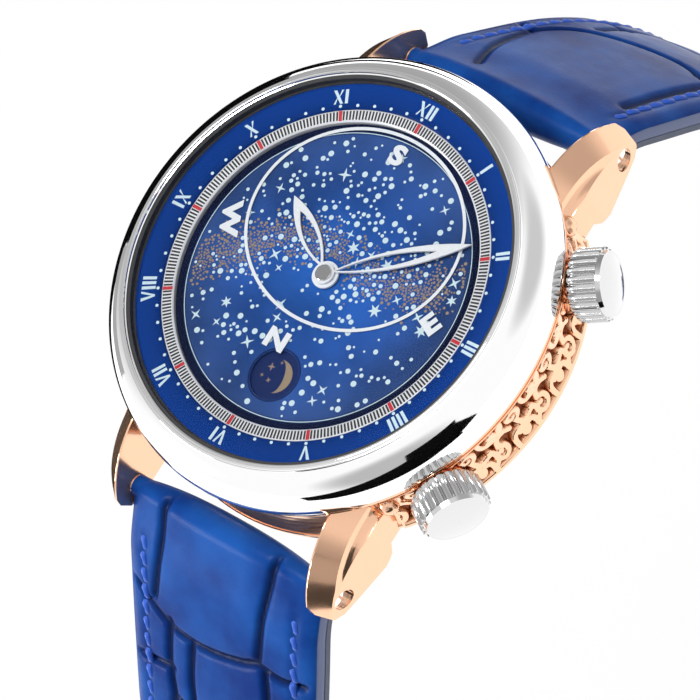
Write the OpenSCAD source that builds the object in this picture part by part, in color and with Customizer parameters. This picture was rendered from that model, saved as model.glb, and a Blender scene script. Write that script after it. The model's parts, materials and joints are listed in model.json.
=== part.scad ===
// Mechanical wristwatch with a turning star disc, on a padded leather strap.
// Millimetres. The origin is the centre of the case back's outer face.
// +Z points out of the dial, +Y to 12 o'clock and +X to 3 o'clock.

/* [Case] */
// Outer diameter of the bezel
case_d = 42; // [40:0.5:44]
// Height of the dial-side edge of the case middle, under the bezel
case_top = 7.7; // [7.4:0.1:8]
// Height of the top of the bezel
bezel_top = 12.2; // [12:0.1:12.6]
// Width of the bezel seen from above, from its outer edge to its inner edge
bezel_w = 2.95; // [2.6:0.05:3.1]
// Rise of the domed crystal over its edge
crystal_rise = 1.2; // [0.6:0.1:1.8]
// Thickness of the crystal
crystal_t = 1; // [0.7:0.1:1.2]
// Thickness of the back crystal
back_glass_t = 1.2; // [1:0.1:1.25]
// Diameter of the back crystal
back_glass_d = 25.9; // [24:0.1:27]

/* [Lugs] */
// Strap width at the lugs, the gap between two lugs less the clearance
strap_w = 22; // [21:0.5:22.5]
// Width of the bevelled top of a lug
lug_top_w = 2; // [1.8:0.1:2.1]
// Width of a lug with its flared side
lug_w = 2.9; // [2.8:0.05:3.1]
// Distance from the centre of the case to a lug bar
bar_y = 22.4; // [22.2:0.1:23]
// Height of the lug bars
bar_z = 0.8; // [0.5:0.1:1]
// Diameter of a lug bar
bar_d = 1.8; // [1.5:0.1:2]
// Radius of the hollow along the side of a lug
scallop_r = 1.2; // [1:0.05:1.3]

/* [Crowns] */
// Diameter of a crown over its flutes
crown_d = 6.4; // [5.6:0.1:6.6]
// Length of the fluted part of a crown
crown_l = 2.6; // [2:0.1:3]
// Number of flutes round a crown
crown_flutes = 26; // [18:1:28]
// Angle of the winding crown from 3 o'clock
crown_up_a = 28.5; // [27:0.5:30]
// Angle of the sky crown from 3 o'clock
crown_low_a = -30.5; // [-32:0.5:-29]
// Height of the crown axes
crown_z = 4.9; // [4.8:0.05:5]
// Diameter of the stems
stem_d = 1.2; // [1:0.1:1.2]
// Travel of a crown when it is pulled
crown_pull = 1; // [0.6:0.1:1.2]

/* [Dial] */
// Outer diameter of the white minute ring
minute_ring_d = 30.7; // [30:0.1:31]
// Width of the minute ring
minute_ring_w = 1.1; // [0.8:0.1:1.3]
// Diameter of the star disc
sky_disc_d = 28.4; // [28:0.1:28.6]
// Radius of the moon window
moon_r = 2.3; // [2:0.1:2.6]
// Distance of the moon window from the centre
moon_y = 9.6; // [9.2:0.1:10]
// Length of the hour hand
hour_l = 8.6; // [8:0.1:9.5]
// Length of the minute hand
minute_l = 13.6; // [12.5:0.1:13.8]
// Angle of the hour hand, clockwise from 12
hour_a = 304.5; // [0:0.5:360]
// Angle of the minute hand, clockwise from 12
minute_a = 54; // [0:0.5:360]

/* [Movement] */
// Radius of the main plate
plate_r = 15; // [14.9:0.05:15.1]
// Thickness of the main plate's floor
plate_t = 1.4; // [1.2:0.1:1.5]
// Thickness of the bridges
bridge_t = 0.7; // [0.6:0.05:0.75]
// Radius of the balance wheel
balance_r = 3.9; // [3.5:0.1:4]
// Turns of the hairspring
hairspring_turns = 6; // [4:1:8]
// Turns of the mainspring
mainspring_turns = 6; // [4:1:7]
// Radius of the rotor's heavy rim
rotor_r = 14.4; // [13.5:0.1:14.6]

/* [Strap] */
// Thickness of the padded strap near the lugs
strap_pad_t = 3; // [2.8:0.1:3.4]
// Thickness of the strap near its ends
strap_end_t = 2.5; // [2.2:0.1:2.8]
// Thickness of the lining leather
lining_t = 0.8; // [0.6:0.05:1]
// Width of the strap at the buckle
strap_end_w = 18; // [16:0.5:18.5]
// Straight length of the short half after the lug
short_straight = 12; // [10:0.5:13]
// Straight length of the short half before the buckle
short_end = 20; // [18:0.5:24]
// Straight length of the long half after the lug
long_straight = 21.5; // [20:0.5:23]
// Length of the flat tail of the long half
tail_l = 48; // [44:1:52]
// Number of holes in the tail
hole_count = 7; // [5:1:8]
// Distance between the holes in the tail
hole_step = 6.5; // [6:0.1:7]
// Diameter of the holes in the tail
hole_d = 2; // [1.8:0.1:2.2]

/* [Buckle] */
// Width of the wire of the buckle frame
frame_w = 2.2; // [1.8:0.1:2.6]
// Inner length of the buckle window, from the bar to the front
window_l = 9; // [8:0.1:10]
// Diameter of the buckle bar
buckle_bar_d = 1.5; // [1.3:0.1:1.6]
// Width of the buckle tongue
tongue_w = 2.2; // [2:0.1:2.6]
// Width of a strap keeper along the strap
keeper_w = 4; // [3.5:0.1:4.2]
// Thickness of a keeper's leather
keeper_t = 0.9; // [0.7:0.1:1.1]

/* [Hidden] */

$fn = 64;
// Small overshoot of a cutting tool past the face that it cuts
over = 0.2;
// Running clearance of a shaft or sleeve in its hole
run = 0.05;
// Clearance of parts that are set into each other and do not move
seat = 0.02;

// Case sizes
case_r = case_d / 2;
band_r = case_r - 0.75;
rim_r = case_r - 0.6;
rim_h = 0.55;
cove_depth = 0.4;
foot_z = 0.8;
lip_h = 0.75;
wall_w = 2.45;
bore_r = band_r - wall_w;
neck_w = 0.8;
neck_r = bore_r + neck_w;
neck_top = 10.9;
minute_top = neck_top - 0.24;
bezel_in_r = case_r - bezel_w;
flange_w = 1.12;
back_neck_r = bore_r - seat;
back_flange_r = back_neck_r + flange_w;
back_neck_w = 2.38;
back_bore_r = back_neck_r - back_neck_w;
back_neck_top = 2.4;
glass_ledge = 0.55;
gasket_w = 0.3;
back_glass_r = back_glass_d / 2;
back_ledge_top = back_glass_t + 0.3;
back_groove_w = 0.5;
back_groove_out = (back_neck_r + back_flange_r + back_groove_w) / 2;
back_groove_in = back_groove_out - back_groove_w;

// Crystal sizes
crystal_r = bezel_in_r - gasket_w;
crystal_z = 11.25;
crystal_edge = 0.85;

// Lug sizes
lug_x = strap_w / 2 + 0.1;
lug_arc_y = 16.1;
lug_arc_z = -2.95;
lug_arc_r = 10;
lug_drop = 1.5;
lug_root_y = case_r - 7.8;
lug_foot_y = case_r - 4.8;
lug_tip_y = bar_y + 2.4;
lug_low_z = bar_z - 1.6;
lug_taper_a = 10;
bar_r = bar_d / 2;
bar_end_x = lug_x + 0.75;
bar_head_x = bar_end_x + 0.1;
bar_head_r = 1;
bar_head_l = 0.7;
boss_r = 0.95;
boss_z = 5.3;

// Crown sizes
crown_r = crown_d / 2;
crown_in = case_r + 0.15;
crown_bevel = 0.4;
crown_dome = 0.3;
collar_r = 2.3;
tube_out_r = 1.05;
tube_end = crown_in + 1.25;
tube_start = bore_r + 0.2;
seal_r = 0.87;
seal_x = tube_start + 0.6;
seal_l = 0.6;
stem_r = stem_d / 2;
flute_r = 0.36;
stem_square = 0.8;

// Heights in the movement, counted from the case back
rotor_z = 1.75;
rotor_gap = 0.65;
keyless_z = 3;
keyless_t = 0.45;
bridge_z = 3.5;
space_z = bridge_z + bridge_t;
floor_z = 6.55;
plate_z = floor_z + plate_t;
rim_in_r = plate_r - 1.35;
ring_out_r = bore_r - run;

// Heights of the layers of wheels between the main plate and the dial
layer_t = 0.21;
layer_a = plate_z + 0.06;
layer_b = layer_a + 0.28;
layer_c = layer_b + 0.28;
layer_d = layer_c + 0.27;
layer_e = layer_d + 0.27;
dial_z = 9.4;
dial_t = 0.22;
moon_z = dial_z + dial_t + 0.05;
moon_t = 0.13;
sky_z = 9.88;
sky_t = 0.22;
glass_z = sky_z + sky_t + 0.04;
glass_t = 0.08;
glass_gap = 0.2;
hour_z = glass_z + glass_t + 0.05;
hand_t = 0.2;
minute_z = 10.55;
cap_z = minute_z + hand_t;
cap_t = 0.22;

// Radii of the tubes on the centre axis, from the inside out
arbor_r = 0.3;
cannon_r = 0.6;
hour_in_r = cannon_r + run;
hour_pipe_r = 0.95;
sky_in_r = hour_pipe_r + run;
sky_pipe_r = 1.3;
moon_in_r = sky_pipe_r + run;
moon_pipe_r = 1.65;
dial_hole_r = moon_pipe_r + run;

// Toothed wheels: module and numbers of teeth
wind_m = 0.2667;
wind_teeth = 12;
crown_teeth = 24;
ratchet_teeth = 36;
barrel_m = 0.17;
barrel_teeth = 60;
centre_pinion_teeth = 10;
centre_m = 0.17;
centre_teeth = 48;
leaf_teeth = 6;
third_m = 0.17;
third_teeth = 45;
fourth_m = 0.12;
fourth_teeth = 60;
escape_teeth = 15;
escape_r = 2.2;
cannon_m = 0.2;
cannon_teeth = 12;
minute_teeth = 36;
motion_pinion_teeth = 10;
hour_teeth = 40;
sky_m = 0.2;
sky_pinion_teeth = 30;
sky_idler_teeth = 20;
sky_teeth = 40;
moon_idler_teeth = 28;
moon_teeth = 58;

// Centre distances of the meshing pairs
barrel_c = barrel_m * (barrel_teeth + centre_pinion_teeth) / 2;
centre_c = centre_m * (centre_teeth + leaf_teeth) / 2;
third_c = third_m * (third_teeth + leaf_teeth) / 2;
fourth_c = fourth_m * (fourth_teeth + leaf_teeth) / 2;
motion_c = cannon_m * (cannon_teeth + minute_teeth) / 2;
motion_m = 2 * motion_c / (motion_pinion_teeth + hour_teeth);
idler_c = sky_m * sky_pinion_teeth;
moon_m = 2 * idler_c / (moon_idler_teeth + moon_teeth);
ratchet_c = wind_m * (crown_teeth + ratchet_teeth) / 2;
wind_r = wind_m * wind_teeth / 2;

// Places of the arbors, worked out from the centre distances
function polar(r, a) = [r * cos(a), r * sin(a)];
function side_angle(a, b, c) = acos((a * a + b * b - c * c) / (2 * a * b));
function heading(p, q) = atan2(q[1] - p[1], q[0] - p[0]);
wind_x = 11;
crown_wheel_c = wind_x - wind_m * crown_teeth / 2;
crown_wheel_p = polar(crown_wheel_c, crown_up_a);
barrel_a = crown_up_a + side_angle(crown_wheel_c, barrel_c, ratchet_c);
barrel_p = polar(barrel_c, barrel_a);
fourth_d = 8.2;
fourth_a = -80;
fourth_p = polar(fourth_d, fourth_a);
third_a = fourth_a + side_angle(centre_c, fourth_d, third_c);
third_p = polar(centre_c, third_a);
escape_a = 160;
escape_p = fourth_p + polar(fourth_c, escape_a);
balance_p = [-7.8, -4.6];
balance_a = heading(escape_p, balance_p);
pallet_c = 2.6;
pallet_p = escape_p + polar(pallet_c, balance_a);
motion_a = 140;
motion_p = polar(motion_c, motion_a);
idler_a = 20;
idler_p = polar(idler_c, idler_a);

// Phases that put each wheel's gap on its partner's tooth
function mesh(a, from_phase, from_n, to_n) =
    a + 180 - ((from_phase - a) * from_n / 360 + 0.5) * 360 / to_n;
centre_phase = 0;
barrel_phase = mesh(barrel_a, centre_phase, centre_pinion_teeth, barrel_teeth);
third_leaf_phase = mesh(third_a, centre_phase, centre_teeth, leaf_teeth);
third_phase = 0;
third_to_fourth = heading(third_p, fourth_p);
fourth_leaf_phase = mesh(third_to_fourth, third_phase, third_teeth, leaf_teeth);
fourth_phase = 0;
escape_leaf_phase = mesh(escape_a, fourth_phase, fourth_teeth, leaf_teeth);
cannon_phase = 0;
minute_phase = mesh(motion_a, cannon_phase, cannon_teeth, minute_teeth);
motion_pinion_phase = 0;
hour_phase = mesh(motion_a + 180, motion_pinion_phase, motion_pinion_teeth, hour_teeth);
sky_pinion_phase = 0;
idler_phase = mesh(idler_a, sky_pinion_phase, sky_pinion_teeth, sky_pinion_teeth);
idler_sky_phase = 0;
sky_phase = mesh(idler_a + 180, idler_sky_phase, sky_idler_teeth, sky_teeth);
moon_phase = mesh(idler_a + 180, idler_sky_phase, moon_idler_teeth, moon_teeth);
crown_wheel_phase = crown_up_a + 180 / crown_teeth;
ratchet_phase = mesh(heading(crown_wheel_p, barrel_p), crown_wheel_phase, crown_teeth, ratchet_teeth);

// Shared shapes

module rod(r, z0, z1) {
    translate([0, 0, z0])
        cylinder(r = r, h = z1 - z0);
}

module ring(r_out, r_in, z0, z1) {
    difference() {
        rod(r_out, z0, z1);
        rod(r_in, z0 - over, z1 + over);
    }
}

module turned(points) {
    rotate_extrude()
        polygon(points);
}

module at(p, z = 0) {
    translate([p[0], p[1], z])
        children();
}

// A shape built along +Z, turned to point outwards along a crown's axis
module along_crown(a) {
    translate([0, 0, crown_z])
        rotate([0, 0, a])
            rotate([0, 90, 0])
                children();
}

// Tooth outline: straight flanks, with less than half the pitch at the pitch circle
function tooth(rp, rr, rt, a, p, w) = [
    [rr * cos(a - p * (w + 0.1)), rr * sin(a - p * (w + 0.1))],
    [rt * cos(a - p * (w - 0.08)), rt * sin(a - p * (w - 0.08))],
    [rt * cos(a + p * (w - 0.08)), rt * sin(a + p * (w - 0.08))],
    [rr * cos(a + p * (w + 0.1)), rr * sin(a + p * (w + 0.1))]
];

function teeth(n, m, add, ded, phase, w) = [
    for (i = [0:n - 1])
        for (q = tooth(n * m / 2, n * m / 2 - ded * m, n * m / 2 + add * m, phase + i * 360 / n, 360 / n, w))
            q
];

module gear(n, m, phase, z0, h, add = 0.6, ded = 1, w = 0.19) {
    translate([0, 0, z0])
        linear_extrude(height = h)
            polygon(teeth(n, m, add, ded, phase, w));
}

// Pinion leaves are thinner than wheel teeth
module leaves(n, m, phase, z0, h) {
    gear(n, m, phase, z0, h, 0.55, 1, 0.16);
}

// Openings that leave a wheel's rim, spokes and hub
module crossings(n, r_in, r_out, arm, z0, h) {
    difference() {
        ring(r_out, r_in, z0 - over, z0 + h + over);
        for (i = [0:n - 1])
            rotate([0, 0, i * 360 / n])
                translate([0, -arm / 2, z0 - 2 * over])
                    cube([r_out + over, arm, h + 4 * over]);
    }
}

module spoked_wheel(n, m, phase, z0, h, hub, arms) {
    difference() {
        gear(n, m, phase, z0, h);
        crossings(arms, hub, n * m / 2 - 2.6 * m, 0.45, z0, h);
    }
}

// Points of a convex quarter curve from the outer edge up to the top
function dome_edge(r0, z0, a, b, a0, a1, n) = [
    for (i = [0:n])
        let (t = a0 + (a1 - a0) * i / n)
        [r0 + a * cos(t), z0 + b * sin(t)]
];

// Points of a shallow cap over a radius, from the edge to the centre
function cap_curve(r, z, rise, n) = [
    for (i = [0:n])
        let (x = r * (1 - i / n))
        [x, z + rise * (1 - (x / r) * (x / r))]
];

// Case

module lug_profile() {
    arc = [
        for (i = [0:10])
            let (t = 86 - 5.5 * i)
            [lug_arc_y + lug_arc_r * cos(t), lug_arc_z + lug_arc_r * sin(t)]
    ];
    linear_extrude(height = lug_w)
        polygon(concat(
            [[lug_root_y, foot_z], [lug_root_y, 6.75]],
            arc,
            [[lug_tip_y, bar_z + 0.4], [lug_tip_y - 0.6, bar_z - 1], [lug_tip_y - 1.5, lug_low_z + 0.05],
             [lug_tip_y - 3.4, lug_low_z], [lug_foot_y + 1.8, lug_low_z], [lug_foot_y + 0.6, lug_low_z + 0.6],
             [lug_foot_y, foot_z]]
        ));
}

// Round body about the axis of the lug's top arc, from a profile of radius and distance out
module about_lug_arc(from) {
    translate([lug_x, lug_arc_y, lug_arc_z])
        rotate([0, 90, 0])
            rotate_extrude($fn = 96)
                polygon(from);
}

module lug() {
    difference() {
        intersection() {
            translate([lug_x, 0, 0])
                rotate([90, 0, 90])
                    lug_profile();
            // Top face that falls outwards, as a cone about the arc
            about_lug_arc([
                [0, -over], [lug_arc_r - 0.1, -over], [lug_arc_r, 0.15], [lug_arc_r - lug_drop, lug_top_w],
                [lug_arc_r - lug_drop - 0.15, lug_w + over], [0, lug_w + over]
            ]);
        }
        // Hollow between the top face and the flared side
        translate([lug_x + lug_top_w + scallop_r, lug_arc_y, lug_arc_z])
            rotate([0, -90, 0])
                rotate([0, 0, -18])
                    rotate_extrude(angle = 118)
                        translate([lug_arc_r - lug_drop, 0])
                            circle(r = scallop_r, $fn = 48);
        // Outer side drawn in towards the tip
        translate([lug_x + lug_w, lug_foot_y + 1.1, -6])
            rotate([0, 0, lug_taper_a])
                cube([3, 12, 16]);
        // Bar bore and the counterbore of its screw head
        translate([lug_x - over, bar_y, bar_z])
            rotate([0, 90, 0])
                cylinder(r = bar_r, h = lug_w + 2 * over);
        translate([bar_head_x, bar_y, bar_z])
            rotate([0, 90, 0])
                cylinder(r = bar_head_r + seat, h = lug_w);
    }
}

module four_lugs() {
    for (sx = [0, 1])
        for (sy = [0, 1])
            mirror([sx, 0, 0])
                mirror([0, sy, 0])
                    lug();
}

// Points of the hollow band, from the lower rim up to the lip
function band_cove(n) = [
    for (i = [0:n])
        [band_r - cove_depth * sin(180 * i / n), foot_z + rim_h + (case_top - lip_h - foot_z - rim_h) * i / n]
];

// Small round bosses where the lugs leave the band
module lug_bosses() {
    boss_a = acos((lug_x + lug_w + boss_r * 0.6) / band_r);
    for (sx = [-1, 1])
        for (sy = [-1, 1])
            translate([sx * band_r * cos(boss_a), sy * band_r * sin(boss_a), boss_z])
                sphere(r = boss_r, $fn = 48);
}

module case_middle() {
    color("rosybrown")
        difference() {
            union() {
                turned(concat(
                    [[bore_r - 1, foot_z], [rim_r - 0.2, foot_z], [rim_r, foot_z + 0.15],
                     [rim_r, foot_z + rim_h - 0.1], [rim_r - 0.1, foot_z + rim_h]],
                    band_cove(8),
                    [[band_r + 0.35, case_top - lip_h + 0.15], [case_r - 0.15, case_top - 0.35],
                     [case_r - 0.15, case_top], [neck_r, case_top], [neck_r, neck_top],
                     [bore_r - 1, neck_top]]
                ));
                four_lugs();
                lug_bosses();
                for (a = [crown_up_a, crown_low_a])
                    along_crown(a)
                        rod(collar_r, bore_r, crown_in - 0.1);
            }
            rod(bore_r, foot_z - 4, neck_top + over);
            for (a = [crown_up_a, crown_low_a])
                along_crown(a)
                    rod(tube_out_r, bore_r - 4, case_r + 1);
            ring(back_groove_out, back_groove_in, foot_z - over, foot_z + 0.3);
        }
}

module bezel() {
    color("gainsboro")
        turned(concat(
            [[neck_r + seat, case_top], [case_r - 0.25, case_top], [case_r - 0.02, case_top + 0.25]],
            dome_edge(case_r - 3.4, case_top + 0.6, 3.4, bezel_top - case_top - 0.65, 2, 77, 12),
            [[bezel_in_r + 0.14, bezel_top], [bezel_in_r + 0.1, bezel_top - 0.16],
             [bezel_in_r, bezel_top - 0.2], [bezel_in_r, neck_top + 0.25],
             [bezel_in_r - 0.5, neck_top + 0.25], [bezel_in_r - 0.5, neck_top + 0.05],
             [neck_r + seat, neck_top + 0.05]]
        ));
}

module crystal() {
    top = cap_curve(crystal_r, crystal_z + crystal_edge, crystal_rise, 10);
    under = cap_curve(crystal_r - 0.6, crystal_z, crystal_rise + crystal_edge - crystal_t, 10);
    color("lightcyan", 0.3)
        turned(concat(
            [[crystal_r - 0.6, crystal_z], [crystal_r - 0.1, crystal_z], [crystal_r, crystal_z + 0.1]],
            top,
            [for (i = [10:-1:1]) under[i]]
        ));
}

// L-shaped ring under and round the crystal
module crystal_gasket() {
    difference() {
        rod(bezel_in_r, neck_top + 0.25, bezel_top - 0.35);
        rod(crystal_r, crystal_z, bezel_top);
        rod(crystal_r - 0.2, neck_top, crystal_z + over);
    }
}

module hour_ring() {
    color("royalblue")
        turned([
            [minute_ring_d / 2 + seat, dial_z + dial_t], [bore_r - seat, dial_z + dial_t],
            [bore_r - seat, neck_top], [bezel_in_r - 0.5, neck_top],
            [minute_ring_d / 2 + 0.14, neck_top - 0.1], [minute_ring_d / 2 + seat, neck_top - 0.22]
        ]);
}

module minute_ring() {
    r_out = minute_ring_d / 2;
    color("white")
        turned([
            [r_out - minute_ring_w, dial_z + dial_t], [r_out, dial_z + dial_t], [r_out, minute_top - 0.04],
            [r_out - 0.08, minute_top], [r_out - minute_ring_w + 0.12, minute_top - 0.06],
            [r_out - minute_ring_w, minute_top - 0.18]
        ]);
}

module dial_plate() {
    color("midnightblue")
        ring(ring_out_r, dial_hole_r, dial_z, dial_z + dial_t);
}

// Clear disc set into the minute ring, which carries the printed horizon
module horizon_glass() {
    color("lightcyan", 0.3)
        ring(minute_ring_d / 2 - minute_ring_w - seat, hour_pipe_r + glass_gap, glass_z, glass_z + glass_t);
}

// Case back with a screwed neck, a ledge for the glass and six key notches
module case_back() {
    color("silver")
        difference() {
            turned([
                [back_glass_r + gasket_w, 0], [back_flange_r - 0.5, 0], [back_flange_r, 0.5],
                [back_flange_r, foot_z], [back_neck_r, foot_z], [back_neck_r, back_neck_top],
                [back_bore_r, back_neck_top], [back_bore_r, back_ledge_top],
                [back_glass_r - glass_ledge, back_ledge_top], [back_glass_r - glass_ledge, back_glass_t],
                [back_glass_r + gasket_w, back_glass_t]
            ]);
            for (i = [0:5])
                rotate([0, 0, 60 * i])
                    translate([back_flange_r - 1.6, -1, -over])
                        cube([2, 2, 0.4 + over]);
        }
}

module back_crystal() {
    color("lightcyan", 0.3)
        turned([
            [0, 0], [back_glass_r - 0.15, 0], [back_glass_r, 0.15], [back_glass_r, back_glass_t],
            [0, back_glass_t]
        ]);
}

module seals() {
    color("dimgray") {
        crystal_gasket();
        ring(back_groove_out - seat, back_groove_in + seat, foot_z, foot_z + 0.28);
        ring(back_glass_r + gasket_w, back_glass_r, 0.1, back_glass_t);
        for (a = [crown_up_a, crown_low_a])
            along_crown(a)
                ring(seal_r, stem_r + run, seal_x, seal_x + seal_l);
    }
}

module movement_ring() {
    color("whitesmoke")
        difference() {
            ring(ring_out_r, plate_r + run, back_neck_top + run, dial_z);
            // Room for the rotor below the bridges
            rod(rotor_r + rotor_gap, back_neck_top, keyless_z);
            for (a = [crown_up_a, crown_low_a])
                along_crown(a)
                    rod(stem_r + 0.3, plate_r - 1, bore_r + 1);
        }
}

// Pressed into the case middle, with room for the stem and its seal
module crown_tubes() {
    color("silver")
        for (a = [crown_up_a, crown_low_a])
            along_crown(a)
                difference() {
                    rod(tube_out_r, tube_start, tube_end);
                    rod(stem_r + run, tube_start - 1, tube_end + 1);
                    rod(seal_r, seal_x, seal_x + seal_l);
                }
}

module lug_bars() {
    color("silver")
        for (s = [-1, 1])
            translate([-bar_end_x, s * bar_y, bar_z])
                rotate([0, 90, 0])
                    cylinder(r = bar_r, h = 2 * bar_end_x);
}

module lug_screws() {
    color("silver")
        for (sx = [0, 1])
            for (s = [-1, 1])
                mirror([sx, 0, 0])
                    translate([bar_head_x, s * bar_y, bar_z])
                        rotate([0, 90, 0])
                            difference() {
                                cylinder(r = bar_head_r, h = bar_head_l);
                                translate([-bar_head_r - over, -0.13, bar_head_l - 0.3])
                                    cube([2 * bar_head_r + 2 * over, 0.26, 1]);
                            }
}

// Movement

// Arbors whose lower and upper pivots run in jewels
ARBORS = [third_p, fourth_p, escape_p];
jewel_r = 0.5;
jewel_hole_r = 0.17;
jewel_t = 0.3;
pivot_r = 0.13;
screw_a = [62, 128, 165, 250, 292, 325, 200];
screw_r = 14.3;
post_r = 0.3;

module main_plate() {
    color("goldenrod")
        difference() {
            union() {
                rod(plate_r, space_z, plate_z);
                // Posts of the minute wheel and of the sky idler
                at(motion_p)
                    rod(post_r, floor_z, layer_b + layer_t);
                at(idler_p)
                    rod(post_r, floor_z, layer_e + layer_t);
            }
            // Dish for the wheels, with the post that carries the pallet bridge
            difference() {
                rod(rim_in_r, space_z - over, floor_z);
                at(pallet_post_p)
                    rod(pallet_post_r, pallet_bridge_z + pallet_bridge_t, floor_z + over);
            }
            rod(arbor_r + run, floor_z - over, plate_z + over);
            at(barrel_p)
                rod(0.8, floor_z - over, floor_z + 0.5);
            for (p = concat(ARBORS, [balance_p, pallet_p]))
                at(p)
                    rod(jewel_r, floor_z - over, floor_z + jewel_t);
            for (a = [crown_up_a, crown_low_a])
                along_crown(a) {
                    rod(stem_r + run, 9, plate_r + 1);
                    rod(wind_r + 0.35, 10.3, 12.7);
                }
            for (a = screw_a)
                at(polar(screw_r, a))
                    rod(0.3, space_z - over, space_z + 1.2);
        }
}

module bridge_disc() {
    rod(plate_r - 0.1, bridge_z, bridge_z + bridge_t);
}

module screw_holes() {
    for (a = screw_a)
        at(polar(screw_r, a))
            rod(0.3, bridge_z - over, space_z + over);
}

split_y = -1.6;
balance_open_r = balance_r + 0.6;

module barrel_bridge() {
    color("silver")
        difference() {
            union() {
                bridge_disc();
                at(click_p)
                    rod(stud_r, keyless_z, bridge_z + over);
            }
            translate([-20, -20 + split_y, 0])
                cube([40, 20, 20]);
            at(balance_p)
                rod(balance_open_r, 0, 20);
            at(barrel_p)
                rod(0.75, 0, 20);
            at([0, 0])
                rod(0.5 + seat, 0, 20);
            at(crown_wheel_p)
                rod(0.4, 0, 20);
            // Slot for the winding pinion and room at the setting pinion
            for (a = [crown_up_a, crown_low_a])
                rotate([0, 0, a])
                    translate([10.3, -wind_r - 0.3, 0])
                        cube([2.2, 2 * wind_r + 0.6, 20]);
            screw_holes();
        }
}

module train_bridge() {
    color("silver")
        difference() {
            bridge_disc();
            translate([-20, split_y - 0.15, 0])
                cube([40, 20, 20]);
            at(balance_p)
                rod(balance_open_r, 0, 20);
            // Left end stops before the foot of the balance cock
            rotate([0, 0, 232])
                translate([0, -20, 0])
                    cube([20, 20, 20]);
            for (p = ARBORS)
                at(p)
                    rod(jewel_r, space_z - jewel_t, space_z + over);
            for (p = ARBORS)
                at(p)
                    rod(pivot_r + run, bridge_z - over, space_z);
            rotate([0, 0, crown_low_a])
                translate([10.3, -wind_r - 0.3, 0])
                    cube([2.2, 2 * wind_r + 0.6, 20]);
            screw_holes();
        }
}

// Cock from the rim to the balance staff
module balance_cock() {
    a = 200;
    color("silver")
        difference() {
            intersection() {
                bridge_disc();
                union() {
                    at(balance_p)
                        rod(1.3, 0, 20);
                    at(balance_p)
                        rotate([0, 0, a])
                            translate([0, -1.1, 0])
                                cube([9, 2.2, 20]);
                    rotate([0, 0, a])
                        translate([plate_r - 1.5, -2.6, 0])
                            cube([3, 5.2, 20]);
                }
            }
            at(balance_p)
                rod(jewel_r, space_z - jewel_t, space_z + over);
            at(balance_p)
                rod(pivot_r + run, bridge_z - over, space_z);
            screw_holes();
        }
}

pallet_bridge_z = 5;
pallet_bridge_t = 0.22;
pallet_post_a = 118;
pallet_post_r = 0.9;
pallet_arm_l = 3.2;
pallet_post_p = pallet_p + polar(pallet_arm_l, pallet_post_a);
fork_z = 5.32;
fork_t = 0.2;

module pallet_bridge() {
    color("silver")
        difference() {
            union() {
                at(pallet_p)
                    rod(0.7, pallet_bridge_z, pallet_bridge_z + pallet_bridge_t);
                at(pallet_p)
                    rotate([0, 0, pallet_post_a])
                        translate([0, -0.4, pallet_bridge_z])
                            cube([pallet_arm_l, 0.8, pallet_bridge_t]);
                at(pallet_post_p)
                    rod(pallet_post_r, pallet_bridge_z, pallet_bridge_z + pallet_bridge_t);
            }
            at(pallet_p)
                rod(pivot_r + run, 0, 20);
        }
}

module bridge_screws() {
    color("steelblue") {
        for (a = screw_a)
            at(polar(screw_r, a))
                difference() {
                    union() {
                        rod(0.3, bridge_z, space_z + 1.2);
                        rod(0.55, bridge_z - 0.3, bridge_z);
                    }
                    rotate([0, 0, a])
                        translate([-1, -0.07, bridge_z - 0.3 - over])
                            cube([2, 0.14, 0.15 + over]);
                }
    }
}

module jewel(z) {
    ring(jewel_r, jewel_hole_r, z, z + jewel_t);
}

module jewels() {
    color("crimson") {
        for (p = concat(ARBORS, [balance_p]))
            at(p) {
                jewel(space_z - jewel_t);
                jewel(floor_z);
            }
        at(pallet_p)
            jewel(floor_z);
        ring(0.5, arbor_r + run, bridge_z + 0.2, space_z);
    }
}

// Pawl with its nose just outside the ratchet teeth, on a stud of the bridge
click_d = 6.6;
click_a = 150;
click_p = barrel_p + polar(click_d, click_a);
click_r = 0.55;
click_t = 0.35;
stud_r = 0.22;
nose_l = 2.1;
nose_a = 30;

module click() {
    color("silver")
        at(click_p)
            difference() {
                union() {
                    rod(click_r, keyless_z + run, keyless_z + run + click_t);
                    rotate([0, 0, heading(click_p, barrel_p) + nose_a])
                        translate([0, 0, keyless_z + run])
                            linear_extrude(height = click_t)
                                polygon([
                                    [0.1, -click_r + 0.08], [nose_l * 0.7, -0.35], [nose_l, 0.3],
                                    [nose_l * 0.75, 0.2], [0.1, click_r - 0.12]
                                ]);
                }
                rod(stud_r + run, keyless_z - over, bridge_z + over);
            }
}

module rotor_bearing() {
    color("silver")
        difference() {
            union() {
                rod(0.62, rotor_z + 0.05, bridge_z);
                rod(1.1, rotor_z + 0.05, rotor_z + 0.35);
            }
            rod(0.2, rotor_z - over, rotor_z + 0.5);
        }
}

barrel_z = 4.35;
barrel_h = 1.6;
drum_r = 4.75;

module barrel() {
    color("goldenrod")
        at(barrel_p)
            difference() {
                union() {
                    rod(drum_r, barrel_z, barrel_z + barrel_h);
                    gear(barrel_teeth, barrel_m, barrel_phase, barrel_z + 0.95, 0.4);
                }
                rod(drum_r - 0.3, barrel_z + 0.2, barrel_z + barrel_h - 0.2);
                rod(0.7 + run, barrel_z - over, barrel_z + barrel_h + over);
            }
}

function spiral(r0, r1, turns, n, off) = [
    for (i = [0:n])
        let (t = 360 * turns * i / n, r = r0 + (r1 - r0) * i / n + off)
        [r * cos(t), r * sin(t)]
];

module spring_strip(r0, r1, turns, t, z0, h, per_turn) {
    n = turns * per_turn;
    outer = spiral(r0, r1, turns, n, t / 2);
    inner = spiral(r0, r1, turns, n, -t / 2);
    translate([0, 0, z0])
        linear_extrude(height = h)
            polygon(concat(outer, [for (i = [n:-1:0]) inner[i]]));
}

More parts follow.
